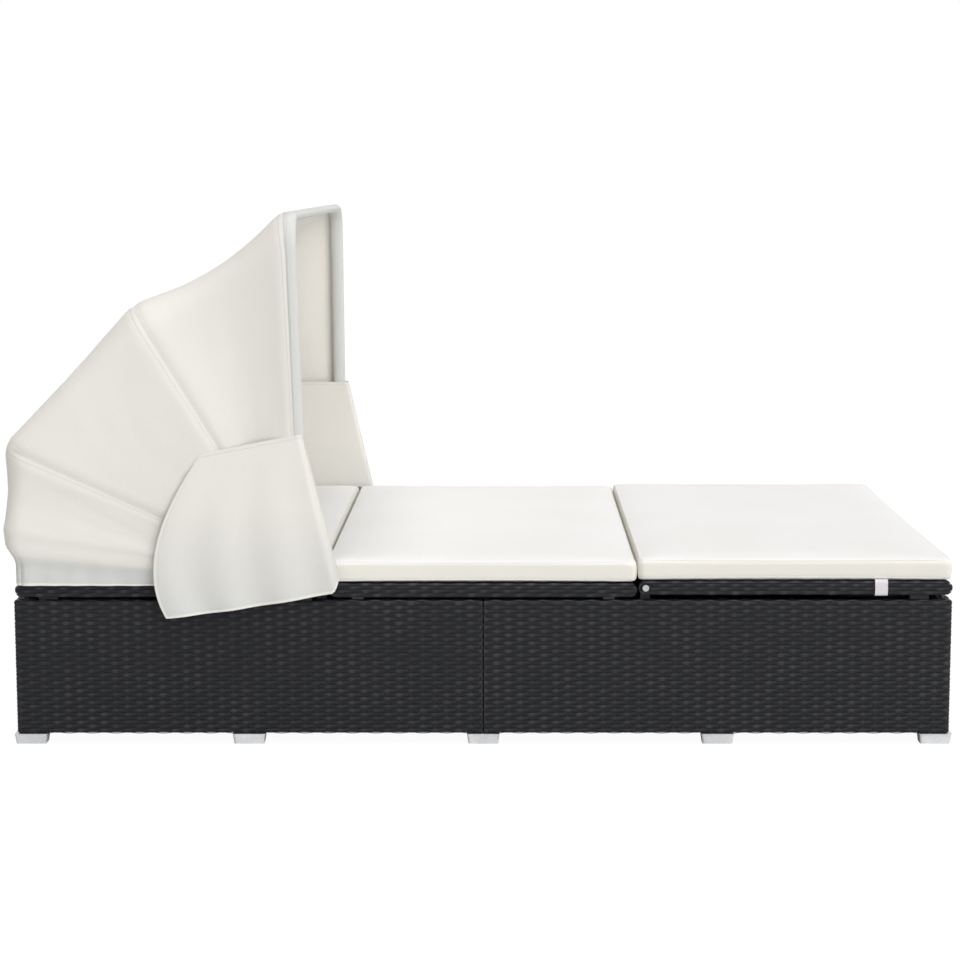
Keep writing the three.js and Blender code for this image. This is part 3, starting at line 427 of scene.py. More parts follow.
def clothFinish(
    name, colour, shaded, thread=0.0011, sheen=0.15, relief=0.00022, onPlaces=False, sewnAndShaded=None, sides=None
):
    # plain weave: two sets of threads that pass over each other, by the place or by the flat map
    paint = Paint(name)
    if onPlaces:
        x, y, z = paint.split(paint.places())
        along, over = x + z * 0.37, y + z
    else:
        along, over = paint.split(paint.flatMap())[:2]
    turn = 2 * math.pi / thread
    threads = (along * turn).sine() * (over * turn).sine()
    slubs = paint.clouds(paint.places(), 260, 3, 0.65)
    broad = paint.clouds(paint.places(), 3.2, 2)
    share = threads * 0.12 + paint.limit(slubs, 0.3, 0.7) * 0.34 + paint.limit(broad, 0.3, 0.7) * 0.4
    base = paint.blend(share, colour, shaded)
    height = threads * 0.5 + slubs * 0.7
    # painted shade: faces that look sideways, by the side number, are blended towards the darker tone of the
    # sides
    if sides:
        base = paint.blend(paint.number("side") * 0.85, base, sides)
    if sewnAndShaded:
        # a line of stitches beside each border, and greyer cloth where it hangs under: painted shade on the
        # rear skirt, darker towards the bottom on the flaps, with the hem's border kept pale as a painted
        # highlight
        rim = paint.number("rim")
        line = paint.limit((rim - 0.0085).size(), 0.0004, 0.0012, 1, 0)
        dash = paint.limit(((along + over) * (2 * math.pi / 0.0045)).sine(), -0.3, 0.1)
        base = paint.blend(line * dash * 0.5, base, tuple(v * 0.72 for v in shaded))
        base = paint.blend(paint.number("under") * paint.limit(rim, 0.0045, 0.006), base, sewnAndShaded)
        height = height + paint.limit(rim, 0.0078, 0.0092, 1, 0) * 2.2 - line * dash * 1.6
    paint.set(Base_Color=base, Roughness=0.85)
    paint.shader.inputs["Specular IOR Level"].default_value = 0.25
    paint.shader.inputs["Sheen Weight"].default_value = sheen
    paint.shader.inputs["Sheen Roughness"].default_value = 0.5
    paint.relief(height, relief, 0.8)
    return paint.material


tones = {
    "strand": tone(22, 23, 27),
    # the paler tone is a painted highlight on the strands' crests
    "strandCrestHighlight": tone(52, 52, 56),
    "cushion": tone(242, 241, 240),
    "cushionShade": tone(234, 233, 229),
    # the darker, warmer tone is painted shade on the cushions' sides
    "cushionSideShade": tone(234, 230, 219),
    "hood": tone(237, 234, 227),
    "hoodShade": tone(229, 226, 218),
    # painted shade for the skirt that hangs under the rear bow
    "skirt": tone(208, 209, 207),
    # the sleeve's tone, greyer than the hood's, is painted shade on the sleeve round the front bow
    "sleeve": tone(219, 220, 216),
    "sleeveShade": tone(209, 210, 206),
    "strap": tone(226, 222, 230),
    "strapShade": tone(203, 200, 208),
    "webbing": tone(234, 229, 234),
    "webbingShade": tone(206, 202, 209),
}
webbingThread = 0.0016
finishes["weave"] = rattanFinish("blackRattanStrand", tones["strand"], tones["strandCrestHighlight"])
# near-black: painted shade where the gaps between the strands show the inner side
finishes["weaveBack"] = wovenBackFinish("rattanBack", tone(12, 12, 14))
finishes["frame"] = coatedMetalFinish("darkPowderCoat", tone(26, 26, 29), 0.5, 0.1)
finishes["cushion"] = clothFinish(
    "creamCushionCover", tones["cushion"], tones["cushionShade"], 0.0013, 0.15, 0.0002,
    onPlaces=True, sides=tones["cushionSideShade"],
)
finishes["canopy"] = clothFinish("hoodCloth", tones["hood"], tones["hoodShade"], sewnAndShaded=tones["skirt"])
# painted shade: the sleeve gets its own greyer cloth
finishes["sleeve"] = clothFinish("shadedHoodSleeveCloth", tones["sleeve"], tones["sleeveShade"])
finishes["strap"] = clothFinish(
    "paleWebbing", tones["strap"], tones["strapShade"], webbingThread, 0.05, 0.0003, onPlaces=True
)
finishes["webbing"] = clothFinish(
    "wovenStrap", tones["webbing"], tones["webbingShade"], webbingThread, 0.05, 0.0003
)
finishes["foot"] = coatedMetalFinish("silverFoot", tone(212, 213, 215), 0.36, 0.25)
finishes["bolt"] = coatedMetalFinish("steelBolt", tone(188, 189, 190), 0.3, 0.85)
finishes["rubber"] = plasticFinish("blackRubber", tone(15, 15, 16), 0.8)
finishes["bow"] = coatedMetalFinish("drawnAluminium", tone(196, 198, 200), 0.32, 0.9)
finishes["knob"] = plasticFinish("knobPlastic", tone(34, 34, 36), 0.42)

# the solids get the finish of their slot, or else the one that their name points to
finishByName = {
    "foot": "foot", "bolt": "bolt", "bumper": "rubber", "bow": "bow", "knob": "knob",
    "strap": "strap", "weave": "weaveBack", "cushion": "cushion", "panel": "canopy", "flap": "canopy",
    "sleeve": "sleeve",
}
for name, node in nodes.items():
    slots = [entry["slot"] for entry in frame["record"]["materials"] if name in entry.get("nodes", [])]
    picked = slots[0] if slots and slots[0] in finishes else None
    if picked is None:
        picked = next((value for key, value in finishByName.items() if key in name), "frame")
    if picked == "weave":
        picked = "weaveBack"
    node.data.materials.clear()
    node.data.materials.append(finishes[picked])
print("finishes made")


# Weave of the two base boxes: one stitch of two rows is modelled, repeated with Array, and
# then laid along the box's sides and over its edges

baseWeave = {
    "period": 0.051,
    "steps": 8,
    "pitch": 0.00845,
    "strandHalf": 0.0039,
    "thick": 0.0011,
    "wave": 0.0011,
    "sunk": 0.0018,
    "lip": 0.013,
    "edgeRadius": 0.006,
    "cornerRadius": 0.008,
    "unevenRow": 0.0006,
    "unevenDepth": 0.00025,
    # what is left of a corner's radius under the strands
    "leastRadius": 0.0004,
    # the upright strands behind the rows
    "uprightWide": 0.0068,
    "uprightThick": 0.0008,
    "uprightCuts": 12,
    "uprightLip": 0.005,
    "uprightShift": 0.02,
    # the rows stop short of the seam between the boxes, and the solid's faces are drawn in behind them
    "seam": 0.0016,
    "backingInset": 0.0035,
}


def stitch(name, period, spec):
    # section of a flat strand, drawn out along X over one wave; the second row half a wave on
    deselectAll()
    bpy.ops.mesh.primitive_circle_add(
        vertices=5, radius=spec["strandHalf"], fill_type="NOTHING", rotation=(0, math.radians(90), 0)
    )
    piece = bpy.context.object
    piece.name = name
    bpy.ops.object.transform_apply(location=False, rotation=True, scale=False)
    half, thick = spec["strandHalf"], spec["thick"]
    # places of the section's five corners: up, and outwards as shares of the strand's thickness
    section = [(-half, 0), (-0.55 * half, 0.6), (0.55 * half, 0.6), (half, 0), (0, -0.4)]
    for vertex, (up, out) in zip(piece.data.vertices, section):
        vertex.co = (0, out * thick, up)
    step = period / spec["steps"]
    bpy.ops.object.mode_set(mode="EDIT")
    bpy.ops.mesh.select_all(action="SELECT")
    for part in range(spec["steps"]):
        bpy.ops.mesh.extrude_region_move(TRANSFORM_OT_translate={"value": (step, 0, 0)})
    bpy.ops.mesh.select_all(action="SELECT")
    bpy.ops.mesh.duplicate_move(TRANSFORM_OT_translate={"value": (0, 0, spec["pitch"])})
    bpy.ops.object.mode_set(mode="OBJECT")
    return piece


def strands(name, length, rows, spec, lay):
    # lay gives the places of strand points: along s, up the profile t, out w
    waves = max(2, round(length / spec["period"]))
    period = length / waves
    piece = stitch(name, period, spec)
    along = repeat(piece, "along", (period, 0, 0), waves)
    along.use_merge_vertices = True
    along.merge_threshold = 0.00005
    repeat(piece, "upward", (0, 0, 2 * spec["pitch"]), (rows + 1) // 2)
    applyModifiers(piece)
    co = readPoints(piece)
    editWhole(piece, (bpy.ops.mesh.fill_holes, {"sides": 6}))
    row = np.floor((co[:, 2] + spec["pitch"] / 2) / spec["pitch"])
    if rows % 2:
        spare = row >= rows
        pickPoints(piece, spare)
        bpy.ops.mesh.delete(type="VERT")
        bpy.ops.object.mode_set(mode="OBJECT")
        co, row = co[~spare], row[~spare]
    across = (co[:, 2] - row * spec["pitch"]) / spec["strandHalf"]
    phase = 2 * math.pi * co[:, 0] / period + math.pi * (row % 2)
    crest = np.cos(phase)
    uneven = np.array([noise.noise(Vector((s * 7, r * 3.1, 0.5))) for s, r in zip(co[:, 0], row)])
    depth = np.array([noise.noise(Vector((s * 11, r * 2.3, 7.5))) for s, r in zip(co[:, 0], row)])
    s = co[:, 0]
    t = co[:, 2] + spec["pitch"] / 2 + spec["unevenRow"] * uneven
    w = co[:, 1] + spec["wave"] * crest + spec["unevenDepth"] * depth
    writePoints(piece, lay(s, t, w))
    addNumbers(piece, "across", across)
    addNumbers(piece, "proud", crest)
    editWhole(piece, recalculate)
    smooth(piece, 60)
    return piece


def uprights(name, places, top, spec, lay):
    # flat upright strands that the rows pass over and under
    deselectAll()
    bpy.ops.mesh.primitive_cube_add(size=1, location=(0, 0, 0.5))
    piece = bpy.context.object
    piece.name = name
    piece.scale = (spec["uprightWide"], spec["uprightThick"], top)
    piece.location = (0, 0, top / 2)
    bpy.ops.object.transform_apply(location=True, rotation=False, scale=True)
    pickEdges(piece, lambda a, b: abs(a.z - b.z) > top / 2)
    bpy.ops.mesh.subdivide(number_cuts=spec["uprightCuts"])
    bpy.ops.object.mode_set(mode="OBJECT")
    repeat(piece, "row", (places[1] - places[0], 0, 0), len(places))
    applyModifiers(piece)
    co = readPoints(piece)
    lip = spec["lip"] + spec["uprightLip"]
    writePoints(piece, lay(co[:, 0] + places[0], lip + co[:, 2] * (top - 2 * lip) / top, co[:, 1]))
    addNumbers(piece, "across", np.zeros(len(co)))
    addNumbers(piece, "proud", np.full(len(co), -0.2))
    smooth(piece, 40)
    return piece


def boxWrap(side, spec):
    # path round three sides of a base box, from the seam at the middle; side is -1 at the head
    low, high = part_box(f"{'head' if side < 0 else 'leg'}_base_right_weave")
    begin = min(abs(low.x), abs(high.x)) + spec["seam"]
    end = max(abs(low.x), abs(high.x))
    halfWidth = -low.y
    bottom, top = low.z, high.z
    corner = spec["cornerRadius"]
    sunk = spec["sunk"]
    edge = spec["edgeRadius"] - sunk
    straight = end - corner - begin
    bend = corner * math.pi / 2
    crossing = 2 * (halfWidth - corner)
    length = 2 * straight + 2 * bend + crossing
    arc = edge * math.pi / 2
    wall = top - bottom - 2 * spec["edgeRadius"]
    height = 2 * spec["lip"] + 2 * arc + wall

    def lay(s, t, w):
        lip = spec["lip"]
        firstTurn = np.clip((t - lip) / arc, 0, 1) * math.pi / 2
        lastTurn = np.clip((t - lip - arc - wall) / arc, 0, 1) * math.pi / 2
        firstLip = np.clip(lip - t, 0, lip)
        lastLip = np.clip(t - (height - lip), 0, lip)
        climb = np.clip(t - lip - arc, 0, wall)
        inset = sunk + edge * (1 - np.sin(firstTurn)) + edge * (1 - np.cos(lastTurn)) + firstLip + lastLip
        z = bottom + sunk + edge * (1 - np.cos(firstTurn)) + climb + edge * np.sin(lastTurn)
        outward = np.where(t < lip + arc, np.sin(firstTurn), np.cos(lastTurn))
        upward = np.where(t < lip + arc, -np.cos(firstTurn), np.sin(lastTurn))
        inset = inset - w * outward
        z = z + w * upward
        radius = np.maximum(corner - inset, spec["leastRadius"])
        turnOne = np.clip((s - straight) / bend, 0, 1) * math.pi / 2
        turnTwo = np.clip((s - straight - bend - crossing) / bend, 0, 1) * math.pi / 2
        goOut = begin + np.clip(s, 0, straight)
        over = np.clip(s - straight - bend, 0, crossing)
        goBack = np.clip(s - straight - 2 * bend - crossing, 0, straight)
        innerX = end - inset - radius
        innerY = halfWidth - inset - radius
        x = np.minimum(goOut, innerX) + radius * np.sin(turnOne)
        y = -(innerY + radius * np.cos(turnOne))
        middle = (s > straight + bend) & (s <= straight + bend + crossing)
        y = np.where(middle, np.clip(-(halfWidth - corner) + over, -innerY, innerY), y)
        x = np.where(middle, end - inset, x)
        late = s > straight + bend + crossing
        turning = radius * np.cos(turnTwo) * (turnTwo < math.pi / 2)
        x = np.where(late, np.minimum(end - corner - goBack, innerX) + turning, x)
        y = np.where(late, innerY + radius * np.sin(turnTwo), y)
        return np.stack([side * x, y, z], 1)

    return lay, length, height


def backing(name, source, pull, finish, body):
    # the solid's own shape, merged, with its outer faces drawn in behind the strands
    copy = nodes[source].copy()
    copy.data = nodes[source].data.copy()
    copy.name = name
    copy.parent = None
    for key in list(copy.keys()):
        if key.startswith("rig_"):
            del copy[key]
    scene.collection.objects.link(copy)
    copy.hide_render = copy.hide_viewport = False
    copy.hide_set(False)
    editWhole(copy, (bpy.ops.mesh.remove_doubles, {"threshold": 0.00001}))
    writePoints(copy, pull(readPoints(copy)))
    return finishPiece(copy, body, "weave", finish, source)


for side, end in ((-1, "head"), (1, "leg")):
    lay, length, height = boxWrap(side, baseWeave)
    rows = int(height / baseWeave["pitch"])
    spread = dict(baseWeave, pitch=height / rows)
    woven = strands(f"{end}_base_strands", length, rows, spread, lay)
    sides = [f"{end}_base_{part}_weave" for part in ("right", "end", "left")]
    finishPiece(woven, "base", "weave", finishes["weave"], *sides)
    crossings = 2 * round(length / spread["period"])
    spots = [length * (index + baseWeave["uprightShift"]) / crossings for index in range(crossings)]
    posts = uprights(f"{end}_base_uprights", spots, height, spread, lay)
    finishPiece(posts, "base", "weave", finishes["weave"], *sides)

    low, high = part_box(f"{end}_base_right_weave")
    halfWidth, halfLength = -low.y, max(abs(low.x), abs(high.x))
    bottom, top = low.z, high.z

    def pullBase(co):
        inner = baseWeave["backingInset"]
        co[:, 0] = np.clip(co[:, 0], -halfLength + inner, halfLength - inner)
        co[:, 1] = np.clip(co[:, 1], -halfWidth + inner, halfWidth - inner)
        co[:, 2] = np.clip(co[:, 2], bottom + inner, top - inner)
        return co

    for part in ("right", "end", "left"):
        node = f"{end}_base_{part}_weave"
        backing(f"{end}_base_{part}_backing", node, pullBase, finishes["weaveBack"], "base")
    print("base box woven:", end, len(woven.data.polygons), "faces")


# Woven edges of the three panels

panelWeave = dict(
    baseWeave,
    pitch=0.0078,
    strandHalf=0.0036,
    lip=0.011,
    edgeRadius=0.0032,
    unevenRow=0.0009,
    endRoom=0.0005,
    lowRoom=0.0006,
    noseInset=0.003,
    # at the hinge: the room round the bolts, and the bands across that the base frame's ears pass through
    boltRoom=0.0064,
    earBand=(0.5592, 0.5707),
    earDepth=0.0035,
    earSlack=0.0001,
    # how far the solid's top is drawn down behind the strands, and the depth of its round end that follows
    backingTop=0.0022,
    backingRim=0.0015,
)


def clearPoints(piece, unwanted, cuts=()):
    # strands end at a hinge: they are cut across, what is in the way goes, and the ends are closed
    for y in cuts:
        editWhole(piece, (bpy.ops.mesh.bisect, {"plane_co": (0, y, 0), "plane_no": (0, 1, 0)}))
    pickPoints(piece, unwanted(readPoints(piece)))
    bpy.ops.mesh.delete(type="VERT")
    editWhole(piece, (bpy.ops.mesh.fill_holes, {"sides": 0}))


def wovenPanel(node, body, hinge=None):
    low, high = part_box(node)
    radius = (high.z - low.z) / 2
    middleZ = (high.z + low.z) / 2
    halfWidth = high.y
    firstAxis, lastAxis = low.x + radius, high.x - radius
    spec = panelWeave
    sunk = spec["sunk"]
    edge = spec["edgeRadius"] - sunk
    arc = edge * math.pi / 2
    wall = high.z - low.z - spec["edgeRadius"] - spec["lowRoom"]
    height = wall + arc + spec["lip"]
    length = high.x - low.x - 2 * spec["endRoom"]

    def laySide(sign):
        def lay(s, t, w):
            turn = np.clip((t - wall) / arc, 0, 1) * math.pi / 2
            lip = np.clip(t - wall - arc, 0, spec["lip"])
            inset = sunk + edge * (1 - np.cos(turn)) + lip
            z = low.z + spec["lowRoom"] + np.clip(t, 0, wall) + edge * np.sin(turn)
            inset = inset - w * np.cos(turn)
            z = z + w * np.sin(turn)
            x = low.x + spec["endRoom"] + s
            # the strip ends where the panel's round end does, at each height
            lift = np.clip(np.abs(z - middleZ), 0, radius - 0.0005)
            room = np.sqrt((radius - spec["leastRadius"]) ** 2 - lift**2)
            x = np.clip(x, firstAxis - room, lastAxis + room)
            return np.stack([x, sign * (halfWidth - inset), z], 1)

        return lay

    def layNose(axis, sign):
        def lay(s, t, w):
            angle = t / (radius - sunk) - math.pi / 2
            reachOut = radius - sunk + w
            x = axis + sign * reachOut * np.cos(angle)
            z = middleZ + reachOut * np.sin(angle)
            return np.stack([x, -halfWidth + spec["noseInset"] + s, z], 1)

        return lay

    rows = round(height / spec["pitch"])
    fitted = dict(spec, pitch=height / rows)
    for sign, name in ((-1, "right"), (1, "left")):
        strip = strands(f"{node}_{name}_strands", length, rows, fitted, laySide(sign))
        if hinge:
            axis = firstAxis if hinge == "first" else lastAxis
            clearPoints(strip, lambda co: np.hypot(co[:, 0] - axis, co[:, 2] - middleZ) < spec["boltRoom"])
        finishPiece(strip, body, "weave", finishes["weave"], node)
    around = math.pi * (radius - sunk)
    noseRows = round(around / spec["pitch"])
    fittedNose = dict(spec, pitch=around / noseRows)
    noseLength = 2 * halfWidth - 2 * spec["noseInset"]
    for axis, sign, name in ((firstAxis, -1, "first"), (lastAxis, 1, "last")):
        nose = strands(f"{node}_{name}_nose", noseLength, noseRows, fittedNose, layNose(axis, sign))
        if hinge == name:
            inner, outer = spec["earBand"]
            slack = spec["earSlack"]

            def inEarPocket(co):
                aside = np.abs(co[:, 1])
                between = (aside > inner + slack) & (aside < outer - slack)
                return between & (co[:, 2] < high.z - spec["earDepth"])

            clearPoints(nose, inEarPocket, (-outer, -inner, inner, outer))
        finishPiece(nose, body, "weave", finishes["weave"], node)

    def pull(co):
        for axis, sign in ((firstAxis, -1), (lastAxis, 1)):
            past = (co[:, 0] - axis) * sign
            far = np.hypot(past, co[:, 2] - middleZ)
            outer = (past > 0) & (far > radius - spec["backingRim"])
            shrink = np.where(outer, (radius - spec["backingInset"]) / np.maximum(far, 0.001), 1)
            co[:, 0] = np.where(outer, axis + (co[:, 0] - axis) * shrink, co[:, 0])
            co[:, 2] = np.where(outer, middleZ + (co[:, 2] - middleZ) * shrink, co[:, 2])
        inner = halfWidth - spec["backingInset"]
        co[:, 1] = np.clip(co[:, 1], -inner, inner)
        co[:, 2] = np.clip(co[:, 2], low.z, high.z - spec["backingTop"])
        return co

    backing(f"{node}_backing", node, pull, finishes["weaveBack"], body)


wovenPanel("seat_weave", "base")
wovenPanel("head_section_weave", "head_section", "last")
wovenPanel("leg_section_weave", "leg_section", "first")
print("panels woven")


# Cushions: foam slabs, a little crowned, the cover drawn in along the sides

cushionShape = {
    "cornerRadius": 0.012,
    "edgeRadius": 0.007,
    "voxel": 0.0085,
    "crown": 0.005,
    "drawIn": 0.003,
    "filling": {
        "quality": 4, "use_pressure": True, "uniform_pressure_force": 4, "tension_stiffness": 15,
        "compression_stiffness": 15, "bending_stiffness": 0.5,
    },
    "frames": 20,
    "cap": 0.005,
    # the block is started so much longer and wider
    "startLonger": 0.002,
    "startWider": -0.002,
    # margins kept to the solid's box along and across
    "margins": (-0.0006, 0.001),
    # the welts: radius, facets, spacing of their points, and how far in from the box's edges they are aimed
    "welt": 0.0014,
    "weltFacets": 6,
    "weltStep": 0.012,
    "weltIn": 0.003,
    "weltDown": 0.0035,
    "weltReach": 0.03,
    # painted shade on the sides: faces whose normal rises less than this show the sides' darker tone, which
    # fades in over the second number
    "sideShadeFrom": 0.75,
    "sideShadeOver": 0.4,
}


def addWelts(piece, low, high):
    # sewn seams along the upper and lower edges, laid on the finished cover
    spec = cushionShape
    corners = [vertex.co for vertex in piece.data.vertices]
    cover = BVHTree.FromPolygons(corners, [tuple(face.vertices) for face in piece.data.polygons])
    middle = (low + high) / 2
    halfX, halfY = (high.x - low.x) / 2, (high.y - low.y) / 2
    corner = spec["cornerRadius"]
    plan = []
    for turn, signX, signY in ((0, 1, 1), (90, -1, 1), (180, -1, -1), (270, 1, -1)):
        for step in range(5):
            angle = math.radians(turn + 22.5 * step)
            x = middle.x + signX * (halfX - corner) + corner * math.cos(angle)
            y = middle.y + signY * (halfY - corner) + corner * math.sin(angle)
            plan.append(Vector((x, y, 0)))
    outline = []
    for first, last in zip(plan, plan[1:] + plan[:1]):
        parts = max(1, round((last - first).length / spec["weltStep"]))
        outline += [first.lerp(last, part / parts) for part in range(parts)]
    for rise, level in ((1, high.z), (-1, low.z)):
        path = []
        for spot in outline:
            # outwards is square to the side, and aslant at the corners
            shares = [(spot.x - middle.x) / halfX, (spot.y - middle.y) / halfY]
            shares = [max(-1, min(1, share)) for share in shares]
            out = Vector([share if abs(share) > 0.985 else 0 for share in shares] + [0])
            out = out.normalized() if out.length > 0 else (spot - middle).normalized()
            inward = Vector((-out.x, -out.y, -rise)).normalized()
            aim = Vector((spot.x, spot.y, level)) - Vector((out.x, out.y, 0)) * spec["weltIn"]
            aim -= Vector((0, 0, rise * spec["weltDown"]))
            hit = cover.ray_cast(aim - inward * spec["weltReach"], inward)
            path.append(hit[0] if hit[0] is not None else aim)
        count, facets = len(path), spec["weltFacets"]
        for evening in range(3):
            path = [(path[i - 1] + path[i] * 2 + path[(i + 1) % count]) / 4 for i in range(count)]
        ring = []
        for i, spot in enumerate(path):
            along = (path[(i + 1) % count] - path[i - 1]).normalized()
            side = along.cross(Vector((0, 0, 1))).normalized()
            up = side.cross(along)
            for k in range(facets):
                turn = 2 * math.pi * k / facets
                ring.append(spot + (side * math.cos(turn) + up * math.sin(turn)) * spec["welt"])
        faces = []
        for i in range(count):
            for k in range(facets):
                a, b = i * facets + k, i * facets + (k + 1) % facets
                c, d = ((i + 1) % count) * facets + (k + 1) % facets, ((i + 1) % count) * facets + k
                faces.append((a, b, c, d))
        tube = bpy.data.meshes.new("welt")
        tube.from_pydata(ring, [], faces)
        tube.update()
        weltPiece = bpy.data.objects.new("welt", tube)
        scene.collection.objects.link(weltPiece)
        editWhole(weltPiece, recalculate)
        makeActive(piece)
        weltPiece.select_set(True)
        bpy.ops.object.join()


def cushion(node, body, foot=0, head=0):
    # foot and head let the cover out past the solid's ends, so that neighbours meet
    spec = cushionShape
    low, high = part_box(node)
    low.x -= foot
    high.x += head
    size = high - low
    middle = (high + low) / 2
    deselectAll()
    bpy.ops.mesh.primitive_cube_add(size=1, location=(0, 0, 0))
    piece = bpy.context.object
    piece.name = node.replace("_cushion", "_cushion_cover")
    piece.scale = (size.x + spec["startLonger"], size.y + spec["startWider"], size.z - spec["crown"])
    piece.location = (middle.x, middle.y, low.z + (size.z - spec["crown"]) / 2)
    bpy.ops.object.transform_apply(location=True, rotation=False, scale=True)
    pickEdges(piece, lambda a, b: abs(a.z - b.z) > 0.01)
    bpy.ops.mesh.bevel(offset=spec["cornerRadius"], segments=4)
    bpy.ops.object.mode_set(mode="OBJECT")
    pickEdges(piece, lambda a, b: abs(a.z - b.z) < 0.001)
    bpy.ops.mesh.bevel(offset=spec["edgeRadius"], segments=3)
    bpy.ops.object.mode_set(mode="OBJECT")
    remesh = piece.modifiers.new("remesh", "REMESH")
    remesh.mode = "VOXEL"
    remesh.voxel_size = spec["voxel"]
    applyModifiers(piece)
    co = readPoints(piece)
    halfX, halfY = size.x / 2, size.y / 2
    u, v = (co[:, 0] - middle.x) / halfX, (co[:, 1] - middle.y) / halfY
    rise = np.clip((co[:, 2] - low.z) / (size.z - spec["crown"]), 0, 1)
    co[:, 2] += spec["crown"] * (1 - u**4) * (1 - v**4) * rise
    met = np.where(u > 0, head != 0, foot != 0)
    co[:, 0] -= spec["drawIn"] * np.sign(u) * np.abs(u) ** 6 * (1 - v**2) * (1 - met)
    co[:, 1] -= spec["drawIn"] * np.sign(v) * np.abs(v) ** 6 * (1 - u**2)
    writePoints(piece, co)
    start = readPoints(piece)
    cloth = piece.modifiers.new("cloth", "CLOTH")
    cloth.settings.effector_weights.gravity = 0
    for setting, value in spec["filling"].items():
        setattr(cloth.settings, setting, value)
    cloth.point_cache.frame_start = 1
    cloth.point_cache.frame_end = spec["frames"]
    for number in range(1, spec["frames"] + 1):
        scene.frame_set(number)
    applyModifiers(piece)
    scene.frame_set(1)
    moved = readPoints(piece) - start
    far = np.linalg.norm(moved, axis=1, keepdims=True)
    moved *= np.minimum(1, spec["cap"] / np.maximum(far, 1e-9))
    co = start + moved
    writePoints(piece, co)
    co = readPoints(piece)
    co[:, 2] = np.maximum(co[:, 2], low.z)
    writePoints(piece, co)
    subdivision = piece.modifiers.new("subdivision", "SUBSURF")
    subdivision.levels = subdivision.render_levels = 1
    applyModifiers(piece)
    # remeshing and filling draw the ends in a little, so the cover is stretched back to its length and width
    co = readPoints(piece)
    co[:, 2] = np.maximum(co[:, 2], low.z)
    for axis, margin in enumerate(spec["margins"]):
        near, far = co[:, axis].min(), co[:, axis].max()
        co[:, axis] = np.interp(co[:, axis], (near, far), (low[axis] + margin, high[axis] - margin))
    writePoints(piece, co)
    addWelts(piece, low, high)
    # the side number says where the painted side shade goes
    upward = np.array([vertex.normal.z for vertex in piece.data.vertices])
    addNumbers(piece, "side", np.clip((spec["sideShadeFrom"] - np.abs(upward)) / spec["sideShadeOver"], 0, 1))
    smooth(piece, 80)
    piece.data.materials.clear()
    piece.data.materials.append(finishes["cushion"])
    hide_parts(node)
    return piece


seatCushion = cushion("seat_cushion", "base", 0.009, 0.001)
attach(seatCushion, "base")
headCushion = cushion("head_cushion", "head_section", 0, -0.003)
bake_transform(headCushion)
legCushion = cushion("leg_cushion", "leg_section", 0.006, 0)
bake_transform(legCushion)
print("cushions made")


# Hood: the cloth follows the four bows, in the solids' own measures

hood = {
    "pivotX": -0.386,
    "pivotZ": 0.360,
    "legPlane": 0.61255,
    "angles": (91.0, 121.1, 155.5, 172.0),
    "reaches": (0.764, 0.662, 0.672, 0.625),
    "bends": (0.065, 0.065, 0.045, 0.030),
    "besides": (0.0125, 0.0088, 0.0088, 0.0088),
    "overs": (0.0135, 0.0110, 0.0110, 0.0110),
    "clothStart": 0.137,
    # how far each panel sinks between its bows, as a share of its width
    "sagShares": (0.058, -0.004, 0.035),
    "thickness": 0.0013,
    "legShare": 0.23,
    "bendShare": 0.07,
    "columns": 128,
    "rows": 30,
    "wrinkle": 0.0022,
    # beside a seam the cloth swells by seamSwell, rises over seamRise and settles over seamSettle
    "seamSwell": 0.0062,
    "seamRise": 0.011,
    "seamSettle": 0.07,
    "frontInset": 0.018,
    # the skirt below the rear bow: the share of the rear panel above it, its lower edge, its least fall,
    # where it is gathered, and how far back and inwards
    "skirtFrom": 0.62,
    "hemLow": 0.3468,
    "leastFall": 0.006,
    "tuckFrom": 0.08,
    "tuckOver": 0.5,
    "hemGather": 0.030,
    "hemInwards": 0.008,
    "pleats": 34,
    "pleatInwards": 0.004,
    # where the skirt turns grey with painted shade, as shares of its panel's map, and how far
    "greyFrom": 0.74,
    "greyOver": 0.06,
    "greyest": 0.8,
    "lean": 0.008,
}


def barPlace(i):
    angle = math.radians(hood["angles"][i])
    along, up = hood["reaches"][i] * math.cos(angle), hood["reaches"][i] * math.sin(angle)
    return np.array([hood["pivotX"] + along, 0, hood["pivotZ"] + up])


def panelNormal(i):
    along = barPlace(i + 1) - barPlace(i)
    normal = np.array([along[2], 0, -along[0]])
    return normal / np.linalg.norm(normal)


panelNormals = [panelNormal(i) for i in range(3)]
# at a bow the cloth looks out between its two panels' ways, and at the last one backwards too
front, middle, rear = panelNormals
bowNormals = [front, front + middle, middle + rear, rear + np.array([-1, 0, 0])]
bowNormals = [normal / np.linalg.norm(normal) for normal in bowNormals]


def station(u, i):
    # how far out and across the bow is at u, from 0 at its near foot to 1 at its far foot, and the shares
    # of the way outwards that go up over the bar and to the side
    near = np.minimum(u, 1 - u)
    side = np.where(u < 0.5, -1.0, 1.0)
    legShare, bendShare = hood["legShare"], hood["bendShare"]
    leg = np.clip(near / legShare, 0, 1)
    turn = np.clip((near - legShare) / bendShare, 0, 1) * math.pi / 2
    bar = np.clip((near - legShare - bendShare) / (0.5 - legShare - bendShare), 0, 1)
    reachOut, bend, start = hood["reaches"][i], hood["bends"][i], hood["clothStart"]
    radial = start + (reachOut - bend - start) * leg + bend * np.sin(turn)
    across = (hood["legPlane"] - bend * (1 - np.cos(turn))) - bar * (hood["legPlane"] - bend)
    return radial, side * across, np.sin(turn), side * np.cos(turn)


def lean(radial, across, i):
    # the front bow's cloth lies a little further back on the near side than on the far side
    share = (radial - hood["clothStart"]) / hood["reaches"][0]
    return hood["lean"] * (i == 0) * (across / hood["legPlane"]) * share


